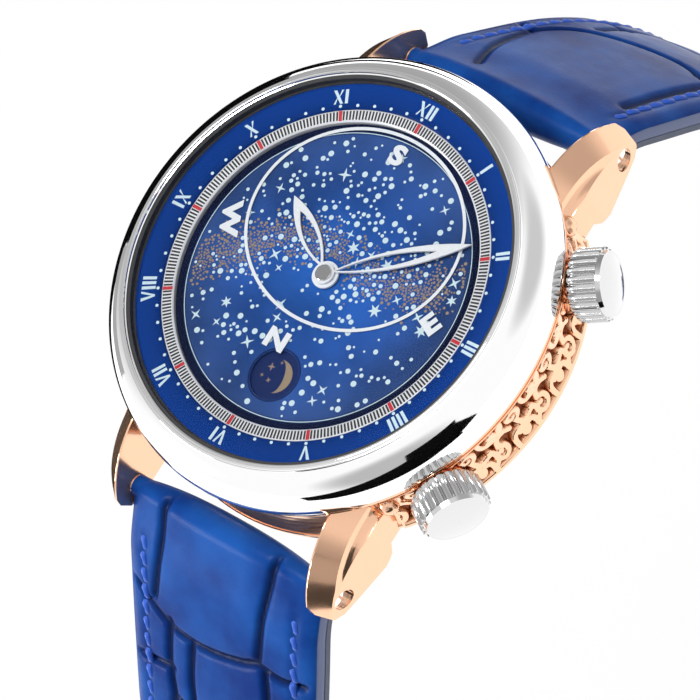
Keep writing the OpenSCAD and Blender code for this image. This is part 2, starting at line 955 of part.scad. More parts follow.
module mainspring() {
    color("lightsteelblue")
        at(barrel_p)
            spring_strip(1.2, drum_r - 0.42, mainspring_turns, 0.14, barrel_z + 0.25, barrel_h - 0.5, 20);
}

module barrel_arbor() {
    color("silver")
        at(barrel_p) {
            rod(0.7, keyless_z + keyless_t, floor_z + 0.45);
            rod(0.4, keyless_z, keyless_z + keyless_t);
        }
}

module ratchet_wheel() {
    color("silver")
        at(barrel_p)
            difference() {
                gear(ratchet_teeth, wind_m, ratchet_phase, keyless_z, keyless_t);
                rod(0.4, keyless_z - over, keyless_z + keyless_t + over);
            }
}

module crown_wheel() {
    color("silver")
        at(crown_wheel_p)
            union() {
                gear(crown_teeth, wind_m, crown_wheel_phase, keyless_z, keyless_t, 0.6, 1.2);
                rod(0.4 - run, keyless_z, space_z);
            }
}

pinion_t = 0.7;

module clutch_pinion(a) {
    along_crown(a)
        difference() {
            leaves(wind_teeth, wind_m, 0, wind_x - pinion_t / 2, pinion_t);
            translate([-stem_square / 2 - run, -stem_square / 2 - run, wind_x - 2])
                cube([stem_square + 2 * run, stem_square + 2 * run, 4]);
        }
}

module winding_pinion() {
    color("silver")
        clutch_pinion(crown_up_a);
}

module setting_pinion() {
    color("silver")
        clutch_pinion(crown_low_a);
}

// Fluted crown with a bevelled ring and a low domed cap
module crown_solid(a) {
    z1 = crown_in + crown_l;
    along_crown(a)
        difference() {
            union() {
                difference() {
                    turned([
                        [0, crown_in], [crown_r - 0.3, crown_in], [crown_r, crown_in + 0.3],
                        [crown_r, z1 - 0.1], [crown_r - 0.1, z1], [0, z1]
                    ]);
                    for (i = [0:crown_flutes - 1])
                        rotate([0, 0, i * 360 / crown_flutes])
                            translate([crown_r + 0.08, 0, crown_in - over])
                                cylinder(r = flute_r, h = crown_l + 2 * over, $fn = 20);
                }
                turned(concat(
                    [[0, z1], [crown_r - 0.3, z1], [crown_r - 0.4, z1 + crown_bevel]],
                    cap_curve(crown_r - 0.55, z1 + crown_bevel, crown_dome, 6)
                ));
            }
            rod(tube_out_r + run, crown_in - over, tube_end + run);
            rod(stem_r, crown_in - over, z1 - 0.6);
        }
}

module crown_upper() {
    color("gainsboro")
        crown_solid(crown_up_a);
}

module crown_lower() {
    color("gainsboro")
        crown_solid(crown_low_a);
}

// The square stays in its pinion when the crown is pulled out
square_start = wind_x - pinion_t / 2 - run - crown_pull;
square_end = wind_x + pinion_t / 2 + 1.4;

// Stem with a square for its pinion
module stem_solid(a) {
    along_crown(a)
        union() {
            rod(stem_r, square_end - over, crown_in + crown_l - 0.6);
            translate([-stem_square / 2, -stem_square / 2, square_start])
                cube([stem_square, stem_square, square_end - square_start]);
        }
}

module stem_upper() {
    color("silver")
        stem_solid(crown_up_a);
}

module stem_lower() {
    color("silver")
        stem_solid(crown_low_a);
}

// Arbor with its two pivots
module staff(z0, z1) {
    rod(pivot_r, z0 + 0.02, z1 - 0.02);
    rod(0.22, z0 + jewel_t + 0.05, z1 - jewel_t - 0.05);
}

module centre_wheel() {
    color("goldenrod")
        union() {
            rod(arbor_r, bridge_z + 0.2, cap_z);
            leaves(centre_pinion_teeth, barrel_m, centre_phase, space_z + 0.85, 1);
            spoked_wheel(centre_teeth, centre_m, centre_phase, 6.1, 0.2, 0.9, 5);
            rod(0.75, space_z + 1.7, 6.3);
        }
}

train_top = floor_z + jewel_t;
train_low = space_z - jewel_t;

module third_wheel() {
    color("goldenrod")
        at(third_p)
            union() {
                staff(train_low, train_top);
                leaves(leaf_teeth, centre_m, third_leaf_phase, 5.7, 0.75);
                rod(0.3, 4.6, 5.8);
                spoked_wheel(third_teeth, third_m, third_phase, 4.6, 0.2, 0.7, 5);
            }
}

module fourth_wheel() {
    color("goldenrod")
        at(fourth_p)
            union() {
                staff(train_low, train_top);
                leaves(leaf_teeth, third_m, fourth_leaf_phase, 4.55, 0.65);
                rod(0.28, 5, 6.2);
                spoked_wheel(fourth_teeth, fourth_m, fourth_phase, 6.05, 0.2, 0.65, 5);
            }
}

// Club-toothed escape wheel, its gap turned to the pallets
module escape_wheel() {
    pts = [
        for (i = [0:escape_teeth - 1])
            for (q = [[escape_r - 0.55, -5], [escape_r, 1.5], [escape_r - 0.06, 4.5], [escape_r - 0.55, 5]])
                let (t = balance_a + 12 + i * 360 / escape_teeth + q[1])
                [q[0] * cos(t), q[0] * sin(t)]
    ];
    color("silver")
        at(escape_p)
            union() {
                staff(train_low, train_top);
                leaves(leaf_teeth, fourth_m, escape_leaf_phase, 5.8, 0.6);
                rod(0.24, 5.3, 6);
                difference() {
                    translate([0, 0, fork_z])
                        linear_extrude(height = fork_t)
                            polygon(pts);
                    crossings(5, 0.6, escape_r - 0.85, 0.3, fork_z, fork_t);
                }
            }
}

roller_r = 0.7;

// Two arms with pallet stones and a slim lever to the balance roller
module pallet_fork() {
    reach = norm(balance_p - pallet_p) - roller_r - 0.12;
    color("silver")
        at(pallet_p)
            rotate([0, 0, balance_a])
                difference() {
                    union() {
                        rod(pivot_r, pallet_bridge_z + 0.02, train_top - 0.02);
                        rod(0.3, fork_z - 0.06, floor_z - 0.05);
                        translate([0, -0.16, fork_z])
                            cube([reach, 0.32, fork_t]);
                        translate([reach - 0.45, -0.35, fork_z])
                            cube([0.45, 0.7, fork_t]);
                        for (s = [-1, 1]) {
                            rotate([0, 0, s * 62])
                                translate([0, -0.16, fork_z])
                                    cube([1.75, 0.32, fork_t]);
                            translate([0.35, s * 1.52, fork_z])
                                rotate([0, 0, s * 14])
                                    translate([-1, -0.14, 0])
                                        cube([1.25, 0.28, fork_t]);
                        }
                    }
                    translate([reach - 0.4, -0.12, fork_z - over])
                        cube([1, 0.24, fork_t + 2 * over]);
                }
}

balance_z = 4.45;

module balance_wheel() {
    color("goldenrod")
        at(balance_p)
            union() {
                staff(train_low, train_top);
                rod(0.32, balance_z, 5.3);
                ring(balance_r, balance_r - 0.35, balance_z, balance_z + 0.4);
                for (i = [0:2])
                    rotate([0, 0, 120 * i])
                        translate([0, -0.15, balance_z + 0.1])
                            cube([balance_r - 0.2, 0.3, 0.2]);
                for (i = [0:5])
                    rotate([0, 0, 60 * i + 30])
                        translate([balance_r - 0.1, 0, balance_z + 0.2])
                            rotate([0, 90, 0])
                                cylinder(r = 0.13, h = 0.28, $fn = 16);
                rod(roller_r, 4.95, 5.15);
                translate([-(roller_r - 0.18) * cos(balance_a), -(roller_r - 0.18) * sin(balance_a), 0])
                    rod(0.1, 5.1, 5.5);
            }
}

module hairspring() {
    color("steelblue")
        at(balance_p)
            spring_strip(0.42, 2, hairspring_turns, 0.05, space_z + 0.03, 0.18, 20);
}

// Half-disc weight on a thin web, with a ring hub round its bearing
module rotor() {
    color("goldenrod")
        difference() {
            union() {
                intersection() {
                    union() {
                        ring(rotor_r, rotor_r - 2.6, rotor_z, rotor_z + 1);
                        ring(rotor_r - 2.5, 1.5, rotor_z + 0.3, rotor_z + 0.7);
                    }
                    translate([-20, -20, 0])
                        cube([40, 20 + 0.4, 20]);
                }
                rod(1.9, rotor_z + 0.3, rotor_z + 0.7);
            }
            rod(1.1 + run, rotor_z - over, rotor_z + 0.35 + run);
            rod(0.62 + run, rotor_z - over, rotor_z + 2);
            for (s = [-1, 1])
                rotate([0, 0, -90 + s * 42])
                    translate([7.2, 0, 0])
                        rod(2.3, 0, 20);
        }
}

// Motion works, sky drive and hands

module cannon_pinion() {
    color("silver")
        union() {
            ring(cannon_r, arbor_r, layer_a, minute_z);
            difference() {
                leaves(cannon_teeth, cannon_m, cannon_phase, layer_a, layer_t);
                rod(arbor_r, layer_a - over, layer_a + 1);
            }
        }
}

module minute_wheel() {
    color("goldenrod")
        at(motion_p)
            difference() {
                union() {
                    gear(minute_teeth, cannon_m, minute_phase, layer_a, layer_t);
                    leaves(motion_pinion_teeth, motion_m, motion_pinion_phase, layer_a, layer_b + layer_t - layer_a);
                }
                rod(post_r + run, layer_a - over, layer_b + 1);
            }
}

module hour_wheel() {
    color("goldenrod")
        difference() {
            union() {
                gear(hour_teeth, motion_m, hour_phase, layer_b, layer_t);
                rod(2, layer_b, layer_c + layer_t);
                gear(sky_pinion_teeth, sky_m, sky_pinion_phase, layer_c, layer_t);
                rod(hour_pipe_r, layer_b, hour_z);
            }
            rod(hour_in_r, layer_b - over, hour_z + over);
        }
}

module sky_idler() {
    color("goldenrod")
        at(idler_p)
            difference() {
                union() {
                    gear(sky_pinion_teeth, sky_m, idler_phase, layer_c, layer_t);
                    leaves(sky_idler_teeth, sky_m, idler_sky_phase, layer_c, layer_d + layer_t - layer_c);
                    leaves(moon_idler_teeth, moon_m, idler_sky_phase, layer_d + layer_t, layer_e - layer_d);
                }
                rod(post_r + run, layer_c - over, layer_e + 1);
            }
}

module sky_disc() {
    color("navy")
        difference() {
            union() {
                gear(sky_teeth, sky_m, sky_phase, layer_d, layer_t);
                rod(sky_pipe_r, layer_d, sky_z + sky_t);
                rod(sky_disc_d / 2, sky_z, sky_z + sky_t);
            }
            rod(sky_in_r, layer_d - over, sky_z + sky_t + over);
            at([0.9, -moon_y])
                rod(moon_r, sky_z - over, sky_z + sky_t + over);
        }
}

module moon_disc() {
    color("navy")
        difference() {
            union() {
                gear(moon_teeth, moon_m, moon_phase, layer_e, layer_t);
                rod(moon_pipe_r, layer_e, moon_z + moon_t);
                rod(moon_y + moon_r + 0.8, moon_z, moon_z + moon_t);
            }
            rod(moon_in_r, layer_e - over, moon_z + moon_t + over);
        }
}

// Leaf of two arcs, long as given and as wide as given
module leaf(l, w, h) {
    r = (l * l / 4 + w * w / 4) / w;
    intersection() {
        translate([r - w / 2, l / 2, 0])
            cylinder(r = r, h = h, $fn = 180);
        translate([w / 2 - r, l / 2, 0])
            cylinder(r = r, h = h, $fn = 180);
    }
}

// Open leaf hand with a round hub and a short tail
module hand(l, w, wall, hub, hole, z0) {
    translate([0, 0, z0])
        difference() {
            union() {
                difference() {
                    translate([0, hub * 0.6, 0])
                        leaf(l - hub * 0.6, w, hand_t);
                    translate([0, hub * 0.6 + 1.6 * wall, -over])
                        leaf((l - hub * 0.6) * 0.72, w - 2 * wall, hand_t + 2 * over);
                }
                cylinder(r = hub, h = hand_t);
            }
            translate([0, 0, -over])
                cylinder(r = hole, h = hand_t + 2 * over);
        }
}

module hour_hand() {
    color("white")
        rotate([0, 0, -hour_a])
            hand(hour_l, 1.9, 0.33, 1.25, hour_in_r, hour_z);
}

module minute_hand() {
    color("white")
        rotate([0, 0, -minute_a])
            hand(minute_l, 1.7, 0.3, 0.95, arbor_r, minute_z);
}

module hand_cap() {
    color("silver")
        turned([[0, cap_z], [0.75, cap_z], [0.75, cap_z + cap_t - 0.06], [0.69, cap_z + cap_t], [0, cap_z + cap_t]]);
}

// Strap

// A route is a list of stretches, each its length and the angle that it turns through.
// Its state is y, z and the heading below horizontal.
start_a = 53;
short_bend_1 = [20, 22];
short_bend_2 = [28.5, 25];
long_bend_1 = [16.1, 37];
long_bend_2 = [36, 18];
SHORT = [[short_straight, 0], short_bend_1, short_bend_2, [short_end, 0]];
LONG = [[long_straight, 0], long_bend_1, long_bend_2, [tail_l, 0]];

function step(s, l, turn) =
    turn == 0
    ? [s[0] + l * cos(s[2]), s[1] - l * sin(s[2]), s[2]]
    : let (r = l / (turn * PI / 180), b = s[2] + turn)
      [s[0] + r * (sin(b) - sin(s[2])), s[1] - r * (cos(s[2]) - cos(b)), b];

function route_length(path, i = 0) = i == len(path) ? 0 : path[i][0] + route_length(path, i + 1);

function on_route(path, l, i = 0, s = [bar_y, bar_z, start_a]) =
    l <= path[i][0] || i == len(path) - 1
    ? step(s, l, path[i][1] * l / path[i][0])
    : on_route(path, l - path[i][0], i + 1, step(s, path[i][0], path[i][1]));

short_l = route_length(SHORT);
long_l = route_length(LONG);

// Thickness and width at a distance from the bar
function smooth(x) = let (c = min(1, max(0, x))) c * c * (3 - 2 * c);
roll_r = 1.75;
strap_root_t = 2 * roll_r - 0.1;
taper_l = 60;
lift_h = 0.65;
function strap_t(l) =
    strap_root_t + (strap_pad_t - strap_root_t) * smooth(l / 5)
    - (strap_pad_t - strap_end_t) * smooth((l - 8) / 48);
function strap_width(l) = strap_w - (strap_w - strap_end_w) * smooth(l / taper_l);
// The padded body stands outwards of the lug bar and comes back to the middle line towards its end
function strap_lift(l) = lift_h * smooth(l / 6) * (1 - smooth((l - 22) / 34));

// Drop of the padded outer face from the middle to the edge
function crown_drop(l) = 0.3 + 0.55 * (strap_t(l) - 2.2);

// Cross sections: x across the strap and n outwards from the middle line
function top_section(w, t, drop) = [
    [-w / 2, -t / 2 + lining_t],
    [-w / 2, t / 2 - drop - 0.15],
    [-w / 2 + 0.5, t / 2 - drop + 0.1],
    [-w * 0.36, t / 2 - drop * 0.45],
    [-w * 0.2, t / 2 - drop * 0.12],
    [0, t / 2],
    [w * 0.2, t / 2 - drop * 0.12],
    [w * 0.36, t / 2 - drop * 0.45],
    [w / 2 - 0.5, t / 2 - drop + 0.1],
    [w / 2, t / 2 - drop - 0.15],
    [w / 2, -t / 2 + lining_t]
];

function lining_section(w, t) = [
    [-w / 2, -t / 2 + lining_t],
    [w / 2, -t / 2 + lining_t],
    [w / 2, -t / 2 + 0.2],
    [w / 2 - 0.4, -t / 2],
    [-w / 2 + 0.4, -t / 2],
    [-w / 2, -t / 2 + 0.2]
];

function placed(section, s, lift) = [
    for (q = section)
        [q[0], s[0] + (q[1] + lift) * sin(s[2]), s[1] + (q[1] + lift) * cos(s[2])]
];

// Closed tube of triangles through rings of equal size
module loft(rings) {
    k = len(rings[0]);
    n = len(rings);
    pts = [for (r = rings) for (p = r) p];
    sides = [
        for (i = [0:n - 2])
            for (j = [0:k - 1])
                let (a = i * k + j, b = i * k + (j + 1) % k)
                each [[a, b + k, b], [a, a + k, b + k]]
    ];
    polyhedron(
        points = pts,
        faces = concat(sides, [[for (j = [0:k - 1]) j]], [[for (j = [k - 1:-1:0]) (n - 1) * k + j]])
    );
}

// The top and its lining share their rings, so that they meet face to face
module strap_top(path, n, tip) {
    total = route_length(path);
    loft([
        for (i = [0:n])
            let (l = total * i / n, w = strap_width(l) * tip_share(l, total, tip))
            placed(top_section(w, strap_t(l), crown_drop(l)), on_route(path, l), strap_lift(l))
    ]);
}

module strap_under(path, n, first, last, tip) {
    total = route_length(path);
    loft([
        for (i = [first:last])
            let (l = total * i / n, w = strap_width(l) * tip_share(l, total, tip))
            placed(lining_section(w, strap_t(l)), on_route(path, l), strap_lift(l))
    ]);
}

// Share of the width left near a rounded tip
function tip_share(l, l1, tip) =
    tip <= 0 || l <= l1 - tip ? 1 : let (u = (l - l1 + tip) / tip) sqrt(1 - 0.97 * u * u);

// Local frame at a place on a route: Y runs along it and Z points outwards
module on_strap(path, l) {
    s = on_route(path, l);
    translate([0, s[0], s[1]])
        rotate([-s[2], 0, 0])
            children();
}

module cross_rod(r, l) {
    translate([-l / 2, 0, 0])
        rotate([0, 90, 0])
            cylinder(r = r, h = l);
}

short_rings = 36;
long_rings = 48;
tail_tip = 9;
roll_gap = 0.1;
end_roll_r = strap_end_t / 2 + 0.25;
buckle_r = buckle_bar_d / 2;
notch_w = tongue_w + 0.8;
notch_l = 4;

module lug_roll() {
    translate([0, bar_y, bar_z])
        cross_rod(roll_r, strap_w);
}

module lug_bore() {
    translate([0, bar_y, bar_z])
        cross_rod(bar_r + roll_gap, strap_w + 2);
}

module strap_short() {
    color("royalblue")
        difference() {
            union() {
                lug_roll();
                strap_top(SHORT, short_rings, 0);
                on_strap(SHORT, short_l)
                    cross_rod(end_roll_r, strap_end_w);
            }
            lug_bore();
            on_strap(SHORT, short_l) {
                cross_rod(buckle_r + roll_gap, strap_end_w + 2);
                translate([-notch_w / 2, -notch_l, -4])
                    cube([notch_w, notch_l + 4, 8]);
            }
        }
}

// The lining starts past the lug roll and ends before the buckle roll
lining_first = 1;
lining_stop = 3;

module strap_short_lining() {
    color("slategray")
        strap_under(SHORT, short_rings, lining_first, short_rings - lining_stop, 0);
}

// Distance of the outermost hole from the tip
hole_first = 16;

module tail_holes() {
    for (i = [0:hole_count - 1])
        on_strap(LONG, long_l - hole_first - i * hole_step)
            translate([0, 0, -3])
                cylinder(r = hole_d / 2, h = 6, $fn = 24);
}

module strap_long() {
    color("royalblue")
        difference() {
            mirror([0, 1, 0])
                union() {
                    lug_roll();
                    strap_top(LONG, long_rings, tail_tip);
                }
            mirror([0, 1, 0])
                lug_bore();
            mirror([0, 1, 0])
                tail_holes();
        }
}

module strap_long_lining() {
    color("slategray")
        mirror([0, 1, 0])
            difference() {
                strap_under(LONG, long_rings, lining_first, long_rings, tail_tip);
                tail_holes();
            }
}

fixed_keeper_l = 5.2;
keeper_step = 5.8;

// Loop of leather that holds the tail on the outer side of the short half
module keeper(l, inset) {
    w = strap_end_w + 0.6;
    h = 2 * strap_end_t + 0.6;
    low = -strap_end_t / 2 - inset;
    on_strap(SHORT, l)
        difference() {
            translate([-w / 2 - keeper_t, -keeper_w / 2, low - keeper_t])
                cube([w + 2 * keeper_t, keeper_w, h + 2 * keeper_t]);
            translate([-w / 2, -keeper_w / 2 - over, low])
                cube([w, keeper_w + 2 * over, h]);
        }
}

module fixed_keeper() {
    color("royalblue")
        keeper(short_l - fixed_keeper_l, 0.05);
}

module free_keeper() {
    color("royalblue")
        keeper(short_l - fixed_keeper_l - keeper_step, 0.15);
}

// Pin buckle
frame_in = strap_end_w / 2 + 0.3;

module buckle_frame() {
    color("rosybrown")
        on_strap(SHORT, short_l)
            difference() {
                union() {
                    for (s = [0, 1])
                        mirror([s, 0, 0]) {
                            translate([frame_in, 0, 0])
                                rotate([0, 90, 0])
                                    cylinder(r = 1.5, h = frame_w);
                            translate([frame_in, 0, -1])
                                cube([frame_w, window_l + 1, 2]);
                        }
                    translate([0, window_l + 1, 0])
                        cross_rod(1.3, 2 * frame_in + 2 * frame_w);
                }
                cross_rod(buckle_r, 40);
                translate([-tongue_w / 2 - 0.2, window_l - 1, 0.7])
                    cube([tongue_w + 0.4, 4, 2]);
            }
}

module buckle_bar() {
    color("silver")
        on_strap(SHORT, short_l)
            cross_rod(buckle_r, 2 * frame_in + 2 * frame_w - 0.4);
}

module buckle_tongue() {
    color("rosybrown")
        on_strap(SHORT, short_l)
            difference() {
                union() {
                    cross_rod(1.35, tongue_w);
                    translate([-tongue_w / 2, 0, 0.85])
                        cube([tongue_w, window_l + 1.9, 0.9]);
                    translate([-tongue_w / 2, 0, 0])
                        cube([tongue_w, 1.2, 1.2]);
                }
                cross_rod(buckle_r + run, 10);
            }
}

case_middle();
bezel();
crystal();
hour_ring();
minute_ring();
dial_plate();
horizon_glass();
case_back();
back_crystal();
seals();
movement_ring();
crown_tubes();
lug_bars();
lug_screws();
main_plate();
barrel_bridge();
train_bridge();
balance_cock();
pallet_bridge();
bridge_screws();
jewels();
click();
rotor_bearing();
barrel();
mainspring();
barrel_arbor();
ratchet_wheel();
crown_wheel();
winding_pinion();
setting_pinion();
crown_upper();
stem_upper();
crown_lower();
stem_lower();
centre_wheel();
third_wheel();
fourth_wheel();
escape_wheel();
pallet_fork();
balance_wheel();
hairspring();
rotor();
cannon_pinion();
minute_wheel();
hour_wheel();
sky_idler();
sky_disc();
moon_disc();
hour_hand();
minute_hand();
hand_cap();
strap_short();
strap_short_lining();
strap_long();
strap_long_lining();
buckle_frame();
buckle_tongue();
buckle_bar();
fixed_keeper();
free_keeper();
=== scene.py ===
"""Looks of a mechanical wristwatch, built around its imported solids."""

import json
import math
import random

import bmesh
import bpy
import numpy as np
from mathutils import Matrix, Vector
from mathutils.kdtree import KDTree


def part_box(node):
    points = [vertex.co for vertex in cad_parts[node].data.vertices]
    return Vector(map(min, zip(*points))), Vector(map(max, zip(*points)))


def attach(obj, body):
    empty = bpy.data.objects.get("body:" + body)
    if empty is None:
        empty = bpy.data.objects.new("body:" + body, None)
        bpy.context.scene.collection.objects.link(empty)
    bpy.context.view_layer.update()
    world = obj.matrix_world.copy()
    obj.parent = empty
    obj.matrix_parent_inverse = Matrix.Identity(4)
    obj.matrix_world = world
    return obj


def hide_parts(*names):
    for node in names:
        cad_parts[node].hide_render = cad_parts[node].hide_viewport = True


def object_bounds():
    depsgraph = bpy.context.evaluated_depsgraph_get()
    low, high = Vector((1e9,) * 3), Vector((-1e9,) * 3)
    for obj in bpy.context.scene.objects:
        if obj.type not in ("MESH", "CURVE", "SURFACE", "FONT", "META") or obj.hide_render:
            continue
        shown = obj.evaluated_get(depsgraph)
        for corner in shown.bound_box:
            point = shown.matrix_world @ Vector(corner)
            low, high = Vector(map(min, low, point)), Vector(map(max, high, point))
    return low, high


bl_info = {
    "name": "Wristwatch dressing",
    "version": (1, 0, 0),
    "blender": (4, 5, 0),
    "location": "View3D > Sidebar > Watch",
    "description": "Finishes, dial printing, case relief and padded strap of a wristwatch",
    "category": "Object",
}

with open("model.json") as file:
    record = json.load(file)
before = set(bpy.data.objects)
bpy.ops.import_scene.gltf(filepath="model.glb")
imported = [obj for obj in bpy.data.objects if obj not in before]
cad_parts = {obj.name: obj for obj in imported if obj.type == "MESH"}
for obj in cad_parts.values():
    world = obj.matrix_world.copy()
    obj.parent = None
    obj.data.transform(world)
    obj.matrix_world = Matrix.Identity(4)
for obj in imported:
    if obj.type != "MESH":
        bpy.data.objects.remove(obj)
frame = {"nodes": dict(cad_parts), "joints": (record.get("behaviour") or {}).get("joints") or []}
CAD_BOX = [list(corner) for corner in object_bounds()]
MM = 0.001


def corners(node):
    """Lowest and highest corner of a solid of the frame, in millimetres."""
    low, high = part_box(node)
    return low / MM, high / MM


def joint_of(name):
    """A joint of the frame by name."""
    return next(j for j in frame["joints"] if j["name"] == name)


# Sizes that come from the frame, in millimetres
RING_R, _, RING_TOP = corners("hour_ring")[1]
TRACK_R, _, TRACK_TOP = corners("minute_ring")[1]
SKY_TOP = corners("sky_disc")[1].z
GLASS_TOP = corners("horizon_glass")[1].z
MOON_TOP = corners("moon_disc")[1].z
BEZEL_R = corners("bezel")[1].x
STRAP_W = 2 * corners("strap_short")[1].x
BAR_LOW, BAR_HIGH = corners("lug_bars")
BAR_Y = BAR_HIGH.y - (BAR_HIGH.z - BAR_LOW.z) / 2
BAR_Z = (BAR_HIGH.z + BAR_LOW.z) / 2
CROWN_ANGLES = [
    math.atan2(joint_of(name)["axis"][1], joint_of(name)["axis"][0])
    for name in ("crown_upper_turn", "crown_lower_turn")
]
CROWN_Z = joint_of("crown_upper_turn")["pos_m"][2] / MM


class WatchDial(bpy.types.PropertyGroup):
    """Sizes of what is printed on the dial, in millimetres"""

    numeral_in: bpy.props.FloatProperty(
        name="Numeral foot", description="Radius of the numerals' inner ends", default=15.9, min=15.0, max=17.0
    )
    numeral_height: bpy.props.FloatProperty(
        name="Numeral height", description="Height of the hour numerals", default=1.3, min=0.5, max=1.6
    )
    minute_dot: bpy.props.FloatProperty(
        name="Minute dot", description="Radius of a minute dot", default=0.15, min=0.05, max=0.3
    )
    ink: bpy.props.FloatProperty(
        name="Ink", description="Thickness of the printed ink", default=0.012, min=0.005, max=0.05
    )
    star_dots: bpy.props.IntProperty(
        name="Star dots", description="Number of round stars on the disc", default=400, min=0, max=900
    )
    specks: bpy.props.IntProperty(
        name="Specks", description="Number of gold specks in the pale band", default=1100, min=0, max=2000
    )
    seed: bpy.props.IntProperty(
        name="Seed", description="Seed of the layout of the stars", default=11, min=0, max=1000
    )


class WatchStrap(bpy.types.PropertyGroup):
    """Sizes of the strap's leather, in millimetres"""

    pad: bpy.props.FloatProperty(
        name="Padding", description="Thickness of the strap near the lugs", default=3.0, min=2.5, max=4.0
    )
    end: bpy.props.FloatProperty(
        name="End", description="Thickness of the strap near its ends", default=2.5, min=2.0, max=3.0
    )
    lining: bpy.props.FloatProperty(
        name="Lining", description="Thickness of the lining", default=0.8, min=0.4, max=1.2
    )
    end_width: bpy.props.FloatProperty(
        name="End width", description="Width of the strap at the buckle", default=18.0, min=16.0, max=19.0
    )
    lift: bpy.props.FloatProperty(
        name="Lift", description="How far the padding stands outwards of the lug bar", default=0.65, min=0.0, max=1.5
    )
    groove: bpy.props.FloatProperty(
        name="Groove", description="Depth of the grooves between the scales", default=0.4, min=0.0, max=0.6
    )
    stitch: bpy.props.FloatProperty(
        name="Stitch", description="Length of one stitch", default=1.9, min=1.0, max=4.0
    )
    thread: bpy.props.FloatProperty(
        name="Thread", description="Radius of the sewing thread", default=0.33, min=0.1, max=0.5
    )


class WatchCase(bpy.types.PropertyGroup):
    """Sizes of the relief on the case band, in millimetres"""

    relief: bpy.props.FloatProperty(
        name="Relief", description="Height of the scrollwork over its ground", default=0.5, min=0.1, max=0.6
    )
    strand: bpy.props.FloatProperty(
        name="Strand", description="Width of a strand of the scrollwork", default=0.62, min=0.2, max=0.8
    )


class WatchFinish(bpy.types.PropertyGroup):
    """Colours of the finishes"""

    rose_gold: bpy.props.FloatVectorProperty(
        name="Rose gold", description="Polished case metal", default=(0.88, 0.53, 0.35), subtype="COLOR"
    )
    steel: bpy.props.FloatVectorProperty(
        name="Steel", description="Polished bezel and crowns", default=(0.93, 0.93, 0.935), subtype="COLOR"
    )
    leather: bpy.props.FloatVectorProperty(
        name="Leather", description="Strap leather", default=(0.002, 0.038, 0.255), subtype="COLOR"
    )
    lacquer: bpy.props.FloatVectorProperty(
        name="Lacquer", description="Blue of the hour ring", default=(0.004, 0.042, 0.25), subtype="COLOR"
    )
    print_white: bpy.props.FloatVectorProperty(
        name="Print", description="Numerals, dots and stars", default=(0.70, 0.90, 0.98), subtype="COLOR"
    )


class WatchStage(bpy.types.PropertyGroup):
    """Camera, lamps and floor"""

    distance: bpy.props.FloatProperty(
        name="Distance", description="Camera distance", default=0.5, min=0.2, max=2.0, unit="LENGTH"
    )
    lens: bpy.props.FloatProperty(
        name="Lens", description="Focal length of the camera", default=302.5, min=50.0, max=600.0
    )
    key_power: bpy.props.FloatProperty(
        name="Key lamp", description="Power of the soft lamp above", default=2.6, min=0.0, max=20.0
    )
    side_power: bpy.props.FloatProperty(
        name="Side lamp", description="Power of the soft lamp low at the strap's side", default=1.3, min=0.0, max=20.0
    )
    world: bpy.props.FloatProperty(
        name="World", description="Strength of the white surroundings", default=0.4, min=0.0, max=2.0
    )
    mirrored_floor: bpy.props.FloatProperty(
        name="Mirrored floor", description="How bright polished metal sees the floor", default=1.5, min=0.0, max=4.0
    )


# Mesh helpers


def start_clean():
    """Object mode with nothing selected, as each piece begins."""
    if bpy.context.object and bpy.context.object.mode != "OBJECT":
        bpy.ops.object.mode_set(mode="OBJECT")
    bpy.ops.object.select_all(action="DESELECT")


def pick(*pieces):
    """Selects pieces and nothing else, with the first one active."""
    start_clean()
    for piece in pieces:
        piece.select_set(True)
    bpy.context.view_layer.objects.active = pieces[0]


def edit(piece):
    """Opens a piece in edit mode with all of it selected."""
    pick(piece)
    bpy.ops.object.mode_set(mode="EDIT")
    bpy.ops.mesh.select_all(action="SELECT")


def added(name, data):
    """A new object of the scene that holds a mesh, a lamp or a camera."""
    thing = bpy.data.objects.new(name, data)
    bpy.context.scene.collection.objects.link(thing)
    return thing


def done(piece, name, *materials):
    """Leaves edit mode, names a piece and gives it its materials."""
    if piece.mode != "OBJECT":
        bpy.ops.object.mode_set(mode="OBJECT")
    piece.name = name
    piece.data.name = name
    piece.data.materials.clear()
    for material in materials:
        piece.data.materials.append(material)
    return piece


def belongs(piece, body, slot, *nodes):
    """Puts a piece under the body that carries it and hides the solids that it stands for; the slot is not used."""
    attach(piece, body)
    for node in nodes:
        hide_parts(node)


def ease(x):
    """A soft step from 0 to 1."""
    c = np.clip(x, 0, 1)
    return c * c * (3 - 2 * c)


def points_of(piece):
    """The points of a piece as an array, in millimetres."""
    co = np.empty(len(piece.data.vertices) * 3)
    piece.data.vertices.foreach_get("co", co)
    return co.reshape(-1, 3) / MM


def place_points(piece, points):
    """Moves the points of a piece to places in millimetres."""
    piece.data.vertices.foreach_set("co", (np.asarray(points) * MM).ravel())
    piece.data.update()


def shaped_grid(across, along, shape):
    """A grid primitive whose points go to shape(u, v), with u and v from 0 to 1."""
    start_clean()
    bpy.ops.mesh.primitive_grid_add(x_subdivisions=across, y_subdivisions=along, size=2, location=(0, 0, 0))
    piece = bpy.context.object
    flat = points_of(piece) * MM
    place_points(piece, shape((flat[:, 0] + 1) / 2, (flat[:, 1] + 1) / 2))
    return piece


def welded(piece, ends=True):
    """Joins a rolled-up grid into a closed skin with its faces outwards."""
    edit(piece)
    bpy.ops.mesh.remove_doubles(threshold=1e-7)
    if ends:
        bpy.ops.mesh.select_all(action="SELECT")
        bpy.ops.mesh.fill_holes(sides=0)
    bpy.ops.mesh.select_all(action="SELECT")
    bpy.ops.mesh.normals_make_consistent(inside=False)
    bpy.ops.object.mode_set(mode="OBJECT")
    return piece


def smooth(piece, angle):
    """Shades a piece smooth except across edges sharper than an angle."""
    pick(piece)
    bpy.ops.object.shade_smooth_by_angle(angle=math.radians(angle))
    return piece


